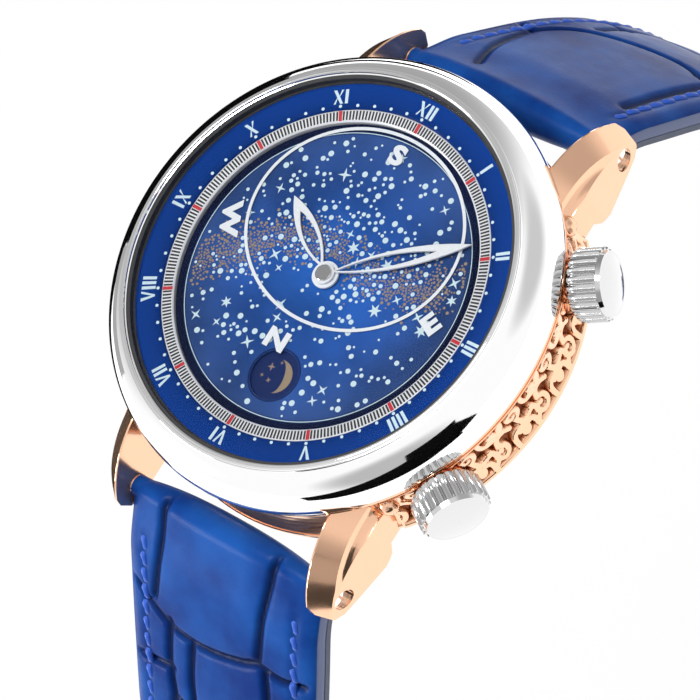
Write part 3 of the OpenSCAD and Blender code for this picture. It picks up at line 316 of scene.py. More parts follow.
def joined(pieces):
    """Joins pieces into the first of them."""
    pick(*pieces)
    bpy.ops.object.join()
    return bpy.context.object


# Ink starts this far over its ground, in millimetres
INK_SEAT = 0.002


def printed(name, outlines, height, ink, ink_name, slot, body):
    """Raised ink: each flat outline, in millimetres, stands just over height(x, y)."""
    bm = bmesh.new()
    for outline in outlines:
        low = [bm.verts.new(Vector((x, y, height(x, y) + INK_SEAT)) * MM) for x, y in outline]
        high = [bm.verts.new(Vector((x, y, height(x, y) + INK_SEAT + ink)) * MM) for x, y in outline]
        bm.faces.new(high)
        bm.faces.new(low[::-1])
        for i in range(len(outline)):
            j = (i + 1) % len(outline)
            bm.faces.new((low[i], low[j], high[j], high[i]))
    bmesh.ops.recalc_face_normals(bm, faces=bm.faces)
    mesh = bpy.data.meshes.new(name)
    bm.to_mesh(mesh)
    bm.free()
    mesh.materials.append(finish(ink_name))
    belongs(added(name, mesh), body, slot)


def level(height):
    """A flat ground to print on."""
    return lambda x, y: height


# Flat outlines


def on_clock(radius, degrees):
    """A point at a clock angle from 12."""
    return radius * math.sin(math.radians(degrees)), radius * math.cos(math.radians(degrees))


def around(x, y, radius, angle):
    """A point at an angle round a centre."""
    return x + radius * math.cos(angle), y + radius * math.sin(angle)


def dot(x, y, radius, sides=10, turn=0.0):
    """A small regular polygon."""
    return [around(x, y, radius, turn + 2 * math.pi * i / sides) for i in range(sides)]


def sparkle(x, y, radius, waist, rays, turn):
    """A star with pointed rays."""
    return [around(x, y, waist if i % 2 else radius, turn + math.pi * i / rays) for i in range(2 * rays)]


def radial_bar(inner, outer, middle, half):
    """A bar between two radii, at a clock angle and with a half width in degrees."""
    return [on_clock(inner, middle - half), on_clock(outer, middle - half),
            on_clock(outer, middle + half), on_clock(inner, middle + half)]


def ring_quads(rx, ry, cx, cy, width, count):
    """A thin closed line as a row of quads."""

    def at(i, grow):
        t = 2 * math.pi * (i % count) / count
        return cx + (rx + grow) * math.cos(t), cy + (ry + grow) * math.sin(t)

    half = width / 2
    return [[at(i, -half), at(i, half), at(i + 1, half), at(i + 1, -half)] for i in range(count)]


# Materials


class Nodes:
    """Short ways to add nodes to a tree."""

    def __init__(self, tree):
        self.tree = tree

    def node(self, kind, *links, **settings):
        """A node with its inputs and options set, and its first inputs linked."""
        node = self.tree.nodes.new(kind)
        for key, value in settings.items():
            socket = key.replace("_", " ")
            if socket in node.inputs:
                node.inputs[socket].default_value = value
            else:
                setattr(node, key, value)
        for source, target in zip(links, node.inputs):
            self.link(source, target)
        return node

    def link(self, source, target):
        """Links an output to an input."""
        self.tree.links.new(source, target)

    def span(self, value, low, high):
        """Turns a value from 0 to 1 into a value from low to high."""
        return self.node("ShaderNodeMapRange", value, To_Min=low, To_Max=high).outputs["Result"]


class Finish(Nodes):
    """A principled material."""

    def __init__(self, name, color, roughness, metallic=0.0, **sockets):
        self.material = bpy.data.materials.new(name)
        self.material.use_nodes = True
        super().__init__(self.material.node_tree)
        self.shader = next(n for n in self.tree.nodes if n.type == "BSDF_PRINCIPLED")
        sockets.update(Base_Color=(*color, 1), Roughness=roughness, Metallic=metallic)
        for socket, value in sockets.items():
            self.shader.inputs[socket.replace("_", " ")].default_value = value

    def place(self):
        """Coordinates over the object, in millimetres."""
        place = self.node("ShaderNodeTexCoord").outputs["Object"]
        return self.node("ShaderNodeMapping", place, Scale=(1 / MM, 1 / MM, 1 / MM)).outputs["Vector"]

    def noise(self, scale, detail=4.0):
        """Soft noise over the object, from 0 to 1."""
        return self.node("ShaderNodeTexNoise", self.place(), Scale=scale, Detail=detail).outputs["Fac"]

    def ramp(self, value, *stops):
        """Colours or grey levels at places from 0 to 1."""
        ramp = self.node("ShaderNodeValToRGB")
        elements = ramp.color_ramp.elements
        while len(elements) < len(stops):
            elements.new(0.5)
        for element, (position, color) in zip(elements, stops):
            element.position = position
            element.color = (*color, 1) if isinstance(color, tuple) else (color, color, color, 1)
        self.link(value, ramp.inputs["Fac"])
        return ramp.outputs["Color"]

    def mixed(self, factor, a, b, blend="MIX"):
        """Mixes two colours, given or linked, by a linked factor or in full."""
        mix = self.node("ShaderNodeMix", data_type="RGBA", blend_type=blend)
        for socket, value in ((mix.inputs[6], a), (mix.inputs[7], b)):
            if isinstance(value, tuple):
                socket.default_value = (*value, 1)
            else:
                self.link(value, socket)
        if factor is None:
            mix.inputs[0].default_value = 1
        else:
            self.link(factor, mix.inputs[0])
        return mix.outputs[2]

    def color(self, source):
        """Base colour that follows an output."""
        self.link(source, self.shader.inputs["Base Color"])

    def rough(self, source, low, high):
        """Roughness that follows a value from 0 to 1."""
        self.link(self.span(source, low, high), self.shader.inputs["Roughness"])

    def bump(self, height, strength, distance):
        """Fine relief, its distance in millimetres."""
        bump = self.node("ShaderNodeBump", Strength=strength, Distance=distance * MM)
        self.link(height, bump.inputs["Height"])
        self.link(bump.outputs["Normal"], self.shader.inputs["Normal"])


FINISHES = {}


def finish(name):
    """The material of a finish."""
    return FINISHES[name].material


def shaded(color, share):
    """A colour made darker or lighter by a share."""
    return tuple(part * share for part in color)


def polished(name, color, roughness, metallic=1.0):
    """Polished metal with faint wipe marks."""
    metal = Finish(name, color, roughness, metallic)
    metal.rough(metal.noise(0.9, 6), roughness * 0.6, roughness * 1.5)
    metal.bump(metal.noise(3.5, 3), 0.05, 0.01)
    return metal


def striped(name, color, pitch):
    """Plate with rounded decorative stripes and fine lines."""
    metal = Finish(name, color, 0.3, 1.0)
    wave = metal.node("ShaderNodeTexWave", metal.place(), bands_direction="DIAGONAL", Scale=pitch)
    metal.rough(wave.outputs["Fac"], 0.16, 0.42)
    metal.bump(wave.outputs["Fac"], 0.25, 0.04)
    return metal


def grained(name, color, roughness, scale, depth):
    """Plain solid colour with a fine surface grain."""
    stuff = Finish(name, color, roughness)
    grain = stuff.noise(scale, 3)
    stuff.rough(grain, roughness * 0.8, min(1, roughness * 1.25))
    stuff.color(stuff.mixed(grain, shaded(color, 0.86), color))
    stuff.bump(grain, 0.2, depth)
    return stuff


def uneven(scale, low, high, *finish_values, detail=4.0, **sockets):
    """Plain finish whose gloss wanders between two values."""
    stuff = Finish(*finish_values, **sockets)
    stuff.rough(stuff.noise(scale, detail), low, high)
    return stuff


def by_radius(stuff, largest, *stops):
    """Colour stops along the distance from the dial's axis, up to the largest radius in millimetres."""
    split = stuff.node("ShaderNodeSeparateXYZ", stuff.place())
    flat = stuff.node("ShaderNodeCombineXYZ", split.outputs[0], split.outputs[1])
    length = stuff.node("ShaderNodeVectorMath", flat.outputs[0], operation="LENGTH")
    share = stuff.node("ShaderNodeMath", length.outputs["Value"], operation="DIVIDE")
    share.inputs[1].default_value = largest
    return stuff.ramp(share.outputs[0], *stops)


def leather(name, color):
    """Glossy embossed leather: grain, random tone whose lighter patches are painted sheen, and painted shade in the
    grooves.
    """
    hide = uneven(0.7, 0.28, 0.44, name, color, 0.36, detail=5, Coat_Weight=0.035, Coat_Roughness=0.2,
                  Specular_IOR_Level=0.05, Sheen_Weight=0.01, Sheen_Roughness=0.35,
                  Sheen_Tint=(0.75, 0.45, 0.62, 1))
    groove = hide.node("ShaderNodeAttribute", attribute_name="groove")
    # Random patches of tone; the lighter colour, brightened and tinted paler, is painted sheen.
    tone_and_sheen = hide.ramp(hide.noise(0.14, 4), (0.35, 0.0), (0.65, 1.0))
    light = tuple(part * 1.2 + more for part, more in zip(color, (0.006, 0.035, 0.05)))
    body = hide.mixed(tone_and_sheen, shaded(color, 0.72), light)
    # Painted shade: where the groove mask is full, the leather darkens to a fifth of its colour.
    hide.color(hide.mixed(groove.outputs["Fac"], body, shaded(color, 0.2)))
    pores = hide.node("ShaderNodeTexVoronoi", hide.place(), feature="DISTANCE_TO_EDGE", Scale=2.6)
    grain = hide.node("ShaderNodeMath", pores.outputs["Distance"], hide.noise(1.1, 6), operation="ADD")
    hide.bump(grain.outputs[0], 0.24, 0.05)
    return hide


def ring_lacquer(color):
    """Deep blue of the hour ring, with painted shade towards its edges and a painted lighter band just inside the
    outer edge.
    """
    ring = Finish("hour_ring_lacquer", color, 0.3, Specular_IOR_Level=0.03)
    # Painted shade at the inner and outer edges, and a painted lighter band just inside the outer edge.
    edge_shade = shaded(color, 0.6)
    ring.color(by_radius(ring, 18.0, (0.84, edge_shade), (0.9, color), (0.97, shaded(color, 1.15)), (1.0, edge_shade)))
    ring.bump(ring.noise(6.0, 2), 0.04, 0.01)
    return ring


def disc_lacquer(color):
    """Blue of the star disc, lighter in the middle, with faint clouds and a near-black rim of painted shade."""
    sky = Finish("star_disc_lacquer", color, 0.35, Specular_IOR_Level=0.03)
    # The near-black stop at the rim is painted shade in the gap under the minute ring.
    glow = by_radius(sky, 14.3, (0.0, (0.022, 0.14, 0.57)), (0.5, (0.024, 0.105, 0.43)),
                     (0.92, (0.035, 0.085, 0.27)), (0.95, (0.004, 0.009, 0.04)))
    cloud = sky.ramp(sky.noise(0.11, 4), (0.35, 0.65), (0.65, 1.25))
    sky.color(sky.mixed(None, glow, cloud, "MULTIPLY"))
    return sky


def relief_gold(color):
    """Case metal with painted shade that darkens it towards the ground of the scrollwork."""
    metal = Finish("relief_gold", color, 0.2, 1.0)
    height = metal.node("ShaderNodeAttribute", attribute_name="relief").outputs["Fac"]
    # Painted shade: the low ground of the scrollwork darkens to a deep red-brown.
    metal.color(metal.ramp(height, (0.03, (0.20, 0.055, 0.022)), (0.45, (0.60, 0.30, 0.16)), (0.8, color)))
    metal.rough(height, 0.4, 0.12)
    return metal


def make_finishes():
    """Every finish of the watch."""
    colors = bpy.context.scene.watch_finish
    gold, steel, lacquer = tuple(colors.rose_gold), tuple(colors.steel), tuple(colors.lacquer)
    FINISHES.update(
        rose_gold=polished("rose_gold", gold, 0.13, 0.9),
        plate=striped("plate", (0.66, 0.66, 0.68), 0.32),
        rotor_gold=striped("rotor_gold", (0.80, 0.56, 0.26), 0.5),
        ruby=uneven(2.0, 0.03, 0.1, "ruby", (0.55, 0.01, 0.06), 0.05, Coat_Weight=1.0),
        blue_dial=ring_lacquer(lacquer),
        star_disc=disc_lacquer(lacquer),
        moon_paint=uneven(2.0, 0.18, 0.32, "moon_disc_lacquer", (0.006, 0.022, 0.12), 0.3, Specular_IOR_Level=0.2),
        white_dial=uneven(5.0, 0.28, 0.45, "track_silver", (0.80, 0.82, 0.85), 0.35, 0.2),
        leather=leather("leather", tuple(colors.leather)),
        thread=uneven(2.5, 0.45, 0.7, "thread", (0.008, 0.085, 0.52), 0.5, Sheen_Weight=0.2),
        relief_gold=relief_gold(gold),
    )
    for name, color, roughness in (
        ("steel", steel, 0.05),
        # The crowns and the hand cap take a darker copy of the steel: painted shade.
        ("shaded_crown_steel", shaded(steel, 0.64), 0.08),
        ("movement_steel", (0.62, 0.63, 0.65), 0.16),
        ("gilt", (0.83, 0.60, 0.28), 0.2),
        ("blued", (0.05, 0.11, 0.42), 0.14),
    ):
        FINISHES[name] = polished(name, color, roughness)
    for name, alpha in (("crystal", 0.05), ("thin_glass", 0.015)):
        FINISHES[name] = uneven(0.2, 0.01, 0.04, name, (0.01, 0.015, 0.03), 0.02, detail=2, Alpha=alpha, IOR=1.6)
    for name, color, roughness, scale, depth in (
        ("seal", (0.02, 0.02, 0.022), 0.6, 3.0, 0.02),
        ("plastic", (0.62, 0.62, 0.60), 0.45, 2.0, 0.02),
        ("hand_white", (0.86, 0.90, 0.94), 0.25, 4.0, 0.004),
        ("ink_pale", tuple(colors.print_white), 0.45, 6.0, 0.004),
        ("ink_white", (0.85, 0.90, 0.95), 0.4, 6.0, 0.004),
        ("ink_black", (0.012, 0.012, 0.016), 0.45, 6.0, 0.004),
        ("ink_red", (0.62, 0.015, 0.03), 0.4, 6.0, 0.004),
        ("ink_gold", (0.35, 0.26, 0.16), 0.5, 5.0, 0.004),
        ("lining", (0.10, 0.12, 0.19), 0.55, 1.4, 0.05),
        ("edge_paint", (0.09, 0.13, 0.30), 0.38, 0.9, 0.03),
    ):
        FINISHES[name] = grained(name, color, roughness, scale, depth)


# Which finish each solid of the frame takes
NODE_FINISH = {
    "rose_gold": ["case_middle", "buckle_frame", "buckle_tongue"],
    "steel": ["bezel", "case_back", "crown_tubes", "lug_bars", "lug_screws", "stem_upper", "stem_lower",
              "buckle_bar"],
    "shaded_crown_steel": ["crown_upper", "crown_lower", "hand_cap"],
    "movement_steel": ["click", "rotor_bearing", "barrel_arbor", "ratchet_wheel", "crown_wheel", "winding_pinion",
                       "setting_pinion", "escape_wheel", "pallet_fork", "cannon_pinion"],
    "plate": ["main_plate", "barrel_bridge", "train_bridge", "balance_cock", "pallet_bridge"],
    "gilt": ["barrel", "centre_wheel", "third_wheel", "fourth_wheel", "balance_wheel", "minute_wheel",
             "hour_wheel", "sky_idler"],
    "rotor_gold": ["rotor"],
    "blued": ["bridge_screws", "hairspring", "mainspring"],
    "ruby": ["jewels"],
    "crystal": ["crystal", "back_crystal"],
    "thin_glass": ["horizon_glass"],
    "seal": ["seals"],
    "plastic": ["movement_ring"],
    "blue_dial": ["hour_ring", "dial_plate"],
    "white_dial": ["minute_ring"],
    "star_disc": ["sky_disc"],
    "moon_paint": ["moon_disc"],
    "hand_white": ["hour_hand", "minute_hand"],
    "leather": ["strap_short", "strap_long", "fixed_keeper", "free_keeper"],
    "lining": ["strap_short_lining", "strap_long_lining"],
}


class WATCH_OT_finishes(bpy.types.Operator):
    """Give every solid of the frame its finish"""

    bl_idname = "watch.finishes"
    bl_label = "Finishes"

    def execute(self, context):
        make_finishes()
        for name, nodes in NODE_FINISH.items():
            for node in nodes:
                piece = frame["nodes"][node]
                piece.data.materials.clear()
                piece.data.materials.append(finish(name))
        return {"FINISHED"}


# Dial printing


def numeral_strokes(letter):
    """Strokes of a Roman letter in a cell one high: outline and advance."""
    thick, thin, lean = 0.21, 0.14, 0.27
    if letter == "I":
        return [[(0, 0), (thick, 0), (thick, 1), (0, 1)]], thick
    if letter == "V":
        return [
            [(lean, 0), (lean + thin, 0), (lean + thin / 2, 0.24), (thick, 1), (0, 1)],
            [(lean + thin, 0), (2 * lean + thin, 1), (2 * lean, 1), (lean + thin / 2, 0.24)],
        ], 2 * lean + thin
    wide = 0.68
    cross = [
        [(0, 1), (wide - thick, 0), (wide, 0), (thick, 1)],
        [(wide - thin, 1), (wide, 1), (wide * 0.5 + 0.09, 0.53), (wide * 0.5 + 0.03, 0.44)],
        [(0, 0), (thin, 0), (wide * 0.5 - 0.03, 0.56), (wide * 0.5 - 0.09, 0.47)],
    ]
    return cross, wide


def numeral_outlines(text, hour, foot, height):
    """Outlines of one hour numeral, its top outwards, bent along the ring."""
    gap = 0.13
    strokes, run = [], 0.0
    for sign in text:
        shapes, advance = numeral_strokes(sign)
        strokes += [[(x + run, y) for x, y in shape] for shape in shapes]
        run += advance + gap
    run -= gap
    return [
        [on_clock(foot + y * height, hour * 30 + math.degrees((x - run / 2) * height / foot)) for x, y in shape]
        for shape in strokes
    ]


def ring_height(x, y):
    """Height of the hour ring's face, which rises slightly outwards."""
    inner, outer, rise = TRACK_R + 0.14, RING_R - 0.23, 0.1
    share = (math.hypot(x, y) - inner) / (outer - inner)
    return RING_TOP - rise + rise * min(1, max(0, share))


class WATCH_OT_hour_ring(bpy.types.Operator):
    """Print the hour numerals and the minute dots"""

    bl_idname = "watch.hour_ring"
    bl_label = "Hour ring print"

    def execute(self, context):
        dial = context.scene.watch_dial
        numerals = []
        for hour, text in enumerate("XII I II III IIII V VI VII VIII IX X XI".split()):
            numerals += numeral_outlines(text, hour, dial.numeral_in, dial.numeral_height)
        dot_r = TRACK_R + 0.16 + dial.minute_dot
        dots = [dot(*on_clock(dot_r, 6 * i), dial.minute_dot) for i in range(60)]
        for name, outlines in (("hour_numerals", numerals), ("minute_dots", dots)):
            printed(name, outlines, ring_height, dial.ink, "ink_pale", "hand_white", "case")
        return {"FINISHED"}


class WATCH_OT_minute_track(bpy.types.Operator):
    """Print the fine ticks and the red marks of the minute track"""

    bl_idname = "watch.minute_track"
    bl_label = "Minute track"

    def execute(self, context):
        ink = context.scene.watch_dial.ink
        inner, outer, rise, longer = TRACK_R - 0.94, TRACK_R - 0.12, 0.06, 0.05
        ticks = [radial_bar(inner, outer, i * 1.2, 0.33) for i in range(300) if i % 25]
        reds = [radial_bar(inner - longer, outer + longer, 30 * i, 0.62) for i in range(12)]

        def height(x, y):
            share = (math.hypot(x, y) - inner) / (outer - inner)
            return TRACK_TOP - rise + rise * min(1.1, max(-0.1, share))

        printed("minute_ticks", ticks, height, ink, "ink_black", "white_dial", "case")
        printed("five_minute_marks", reds, height, ink, "ink_red", "white_dial", "case")
        return {"FINISHED"}


# Sky

# Places on the star disc, in millimetres: the moon window, the stars' outer
# edge, the printed circle and the hub of the hands
WINDOW_X, WINDOW_Y, WINDOW_R = 0.9, -9.6, 2.3
STARS_R = 13.1
CIRCLE_R = 13.4
HUB_R = 1.6
DOT_SIZES = (0.11, 0.14, 0.17, 0.2, 0.24, 0.28)
WINDOW_ROOM = 0.45
STAR_GAP = 0.05
MOST_TRIES = 20000


def in_window(x, y, margin):
    """Whether a place lies in the moon window or its rim."""
    return math.hypot(x - WINDOW_X, y - WINDOW_Y) < WINDOW_R + margin


def band_place(t, spread, rng):
    """A place near the pale band: a long shallow S over the disc."""
    left, foot, wide, rise, sway = -12.6, -3.4, 25.2, 9.6, 2.2
    x = left + wide * t
    y = foot + rise * t + sway * math.sin(2 * math.pi * (t - 0.08))
    return x + rng.gauss(0, spread), y + rng.gauss(0, spread)


class WATCH_OT_stars(bpy.types.Operator):
    """Scatter the stars and the gold specks over the turning disc"""

    bl_idname = "watch.stars"
    bl_label = "Star disc print"

    def execute(self, context):
        dial = context.scene.watch_dial
        rng = random.Random(dial.seed)
        placed = []

        def free(x, y, radius):
            """Whether a star has room between the rim, the hub, the window and the stars placed so far."""
            out = math.hypot(x, y)
            if out + radius > STARS_R or out < HUB_R + radius or in_window(x, y, WINDOW_ROOM + radius):
                return False
            return all(math.hypot(x - a, y - b) > radius + c + STAR_GAP for a, b, c in placed)

        sparkles = []
        while len(sparkles) < 26:
            x, y = on_clock(STARS_R * math.sqrt(rng.random()), rng.uniform(0, 360))
            size = rng.uniform(0.42, 0.68)
            if free(x, y, size):
                placed.append((x, y, size))
                rays = rng.choice((4, 4, 6))
                sparkles.append(sparkle(x, y, size, size * (0.26 if rays == 4 else 0.4), rays, rng.uniform(0, 1.5)))
        dots, tries = [], 0
        clusters = [(on_clock(rng.uniform(3, 11), rng.uniform(0, 360)), rng.uniform(0.9, 2.0)) for _ in range(13)]
        while len(dots) < dial.star_dots and tries < MOST_TRIES:
            tries += 1
            if rng.random() < 0.42:
                (cx, cy), spread = rng.choice(clusters)
                x, y = rng.gauss(cx, spread), rng.gauss(cy, spread)
            else:
                x, y = on_clock(STARS_R * math.sqrt(rng.random()), rng.uniform(0, 360))
            size = rng.choice(DOT_SIZES)
            if free(x, y, size):
                placed.append((x, y, size))
                dots.append(dot(x, y, size, 10, rng.random()))
        specks, tries = [], 0
        while len(specks) < dial.specks and tries < MOST_TRIES:
            tries += 1
            x, y = band_place(rng.random(), rng.choice((0.3, 0.5, 0.9)), rng)
            size = rng.uniform(0.08, 0.17)
            if free(x, y, size):
                placed.append((x, y, size * 0.5))
                specks.append(dot(x, y, size, rng.choice((4, 5, 6)), rng.random() * 3))
        circle = ring_quads(CIRCLE_R, CIRCLE_R, 0, 0, 0.07, 180)
        for name, outlines, ink_name in (("stars", dots, "ink_pale"), ("bright_stars", sparkles, "ink_pale"),
                                         ("gold_specks", specks, "ink_gold"), ("star_circle", circle, "ink_pale")):
            printed(name, outlines, level(SKY_TOP), dial.ink, ink_name, "star_disc", "sky")
        rim_r = WINDOW_R + 0.12
        rim = ring_quads(rim_r, rim_r, WINDOW_X, WINDOW_Y, 0.16, 48)
        printed("moon_window_rim", rim, level(SKY_TOP), 2 * dial.ink, "moon_paint", "moon_paint", "sky")
        return {"FINISHED"}


class WATCH_OT_moon(bpy.types.Operator):
    """Print a gold half moon and small sparkles on the moon disc"""

    bl_idname = "watch.moon"
    bl_label = "Moon print"

    def execute(self, context):
        cx, cy, radius = WINDOW_X + 0.05, WINDOW_Y, 1.55
        steps, tilt = 24, -math.pi * 0.42
        shape = [around(cx, cy, radius, math.pi * (i / steps - 0.42)) for i in range(steps + 1)]
        for i in range(steps - 1, 0, -1):
            a = math.pi * i / steps
            u, v = radius * math.cos(a), 0.5 * radius * math.sin(a)
            shape.append((cx + u * math.cos(tilt) - v * math.sin(tilt), cy + u * math.sin(tilt) + v * math.cos(tilt)))
        sparks = [sparkle(cx - 0.9, cy + 0.55, 0.4, 0.12, 4, 0.3), sparkle(cx - 1.3, cy - 0.45, 0.22, 0.07, 4, 0.0),
                  sparkle(cx - 0.45, cy - 0.6, 0.28, 0.09, 4, 0.6), sparkle(cx - 0.2, cy + 1.25, 0.18, 0.06, 4, 0.2)]
        for name, outlines in (("moon_shape", [shape]), ("moon_sparkles", sparks)):
            printed(name, outlines, level(MOON_TOP), context.scene.watch_dial.ink, "ink_gold", "moon_paint", "moon")
        return {"FINISHED"}


# The compass letters with their places and turns
LETTERS = (("S", -0.48, 12.1, 0), ("N", -0.74, -6.83, 0), ("E", 11.5, 0.45, 65), ("W", -11.5, 0.55, -65))
LETTER_SIZE = 2.4
LETTER_STRETCH = 1.25


def letter(text, x, y, turn):
    """A bold letter as a flat mesh, in millimetres, centred on its place."""
    start_clean()
    bpy.ops.object.text_add(location=(0, 0, 0))
    words = bpy.context.object.data
    words.body = text
    words.size = LETTER_SIZE * MM
    words.align_x = "CENTER"
    words.align_y = "CENTER"
    words.offset = 0.12 * MM
    words.extrude = 0.008 * MM
    words.resolution_u = 4
    bpy.ops.object.convert(target="MESH")
    shape = bpy.context.object
    middle = (np.max(points_of(shape), 0) + np.min(points_of(shape), 0)) / 2
    points = points_of(shape) - middle
    points[:, 0] *= LETTER_STRETCH
    c, s = math.cos(math.radians(turn)), math.sin(math.radians(turn))
    turned = np.stack([x + points[:, 0] * c - points[:, 1] * s, y + points[:, 0] * s + points[:, 1] * c,
                       points[:, 2] + GLASS_TOP + 0.012], 1)
    place_points(shape, turned)
    return shape


class WATCH_OT_horizon(bpy.types.Operator):
    """Print the horizon line and the four compass letters on the clear disc"""

    bl_idname = "watch.horizon"
    bl_label = "Horizon print"

    def execute(self, context):
        ink = context.scene.watch_dial.ink
        line = ring_quads(10.7, 9.1, -0.18, 4.7, 0.3, 120)
        printed("horizon_line", line, level(GLASS_TOP), ink, "ink_white", "hand_white", "case")
        piece = joined([letter(*place) for place in LETTERS])
        belongs(done(piece, "compass_letters", finish("ink_white")), "case", "hand_white")
        return {"FINISHED"}


# Bezel


def spun(name, profile, steps):
    """Turns a closed outline of (radius, height) places about the dial's axis."""
    start_clean()
    mesh = bpy.data.meshes.new(name)
    count = len(profile)
    mesh.from_pydata([(r * MM, 0, z * MM) for r, z in profile], [(i, (i + 1) % count) for i in range(count)], [])
    piece = added(name, mesh)
    edit(piece)
    bpy.ops.mesh.spin(steps=steps, angle=2 * math.pi, center=(0, 0, 0), axis=(0, 0, 1))
    bpy.ops.mesh.select_all(action="SELECT")
    bpy.ops.mesh.remove_doubles(threshold=1e-6)
    bpy.ops.mesh.normals_make_consistent(inside=False)
    return piece


class WATCH_OT_bezel(bpy.types.Operator):
    """Turn the polished bezel with its fine steps at the crystal"""

    bl_idname = "watch.bezel"
    bl_label = "Bezel"

    def execute(self, context):
        low, top = (corner.z for corner in corners("bezel"))
        opening = corners("crystal")[1].x + 0.3
        ledge, ledge_z, neck = opening - 0.5, corners("crystal")[0].z - 0.1, opening + 0.57
        dome_r, dome_z = 3.4, top - low - 0.65
        centre, base = BEZEL_R - dome_r, low + 0.6
        angles = [math.radians(2 + 69 * i / 40) for i in range(41)]
        dome = [(centre + dome_r * math.cos(a), base + dome_z * math.sin(a)) for a in angles]
        r = dome[-1][0]
        steps = [(r - 0.03, top - 0.13), (r - 0.1, top - 0.13), (r - 0.13, top - 0.04), (r - 0.3, top - 0.02),
                 (r - 0.33, top - 0.1), (r - 0.4, top - 0.1), (r - 0.43, top), (opening + 0.14, top)]
        profile = [(neck, low), (BEZEL_R - 0.25, low), (BEZEL_R - 0.08, low + 0.07), (BEZEL_R - 0.02, low + 0.25)]
        profile += dome + steps
        profile += [(opening + 0.1, top - 0.16), (opening, top - 0.2), (opening, ledge_z), (ledge, ledge_z),
                    (ledge, ledge_z - 0.2), (neck, ledge_z - 0.2)]
        piece = done(spun("polished_bezel", profile, 320), "polished_bezel", finish("steel"))
        belongs(smooth(piece, 24), "case", "steel", "bezel")
        return {"FINISHED"}


# Case relief

# The band's foot and top, its radius, how far it hollows, half the angle it
# covers on each side, the length of one scroll cell, and the room of a crown
BAND_Z = (1.35, 6.95)
BAND_R = BEZEL_R - 0.75
COVE = 0.4
BAND_HALF_ANGLE = math.radians(45.0)
CELL = 2.65
CROWN_ROOM = 2.42


def band_radius(z):
    """Radius of the case band at a height."""
    share = np.clip((z - BAND_Z[0]) / (BAND_Z[1] - BAND_Z[0]), 0, 1)
    return BAND_R - COVE * np.sin(math.pi * share)


def scroll(cx, cy, radius, start, sweep, count=40):
    """A curl that winds in from its radius, as places along the band."""
    return [
        around(cx, cy, radius * (1 - 0.72 * i / count), start + sweep * i / count) for i in range(count + 1)
    ]


def arc_between(a, b, bulge, count=24):
    """A bowed strand from one place to another."""
    mx, my = (b[0] - a[0]), (b[1] - a[1])
    return [
        (a[0] + mx * t - my * bulge * math.sin(math.pi * t), a[1] + my * t + mx * bulge * math.sin(math.pi * t))
        for t in (i / count for i in range(count + 1))
    ]


def scrollwork(length, rng):
    """Strands of curls, leaves and links over a flat band of a given length."""
    strands = []
    cells = int(length / CELL)
    middle = (BAND_Z[0] + 0.25 + BAND_Z[1] - 0.2) / 2
    for i in range(cells + 1):
        x = (i - cells / 2) * CELL
        flip = 1 if i % 2 else -1
        r = 0.95 + rng.uniform(-0.07, 0.07)

        def at(along, up):
            """A place in this cell, which is upside down in every second one."""
            return x + along, middle + flip * up

        strands += [
            scroll(*at(0, 1.35), r, flip * -1.4, flip * 6.6),
            arc_between(at(r * 0.2, 1.35 - r), at(CELL * 0.62, -0.55), -0.35 * flip),
            arc_between(at(-CELL * 0.42, -2.3), at(0.3, -0.85), 0.3 * flip),
            arc_between(at(0.1, -1.35), at(CELL * 0.55, -2.35), 0.42 * flip),
            scroll(*at(0.15, -1.7), 0.58, flip * 2.4, -flip * 5.0),
            arc_between(at(-0.75, 0.2), at(-1.25, 2.3), 0.25),
        ]
    return strands


def distance_to(points):
    """A measure of how far places lie from the nearest of some flat points."""
    tree = KDTree(len(points))
    for index, (x, y) in enumerate(points):
        tree.insert((x, y, 0), index)
    tree.balance()
    return lambda xs, ys: np.array([tree.find((x, y, 0))[2] for x, y in zip(xs, ys)])


def keep_values(piece, name, values):
    """Stores a value at each point of a piece for its finish."""
    piece.data.attributes.new(name, "FLOAT", "POINT").data.foreach_set("value", values.astype(np.float32))


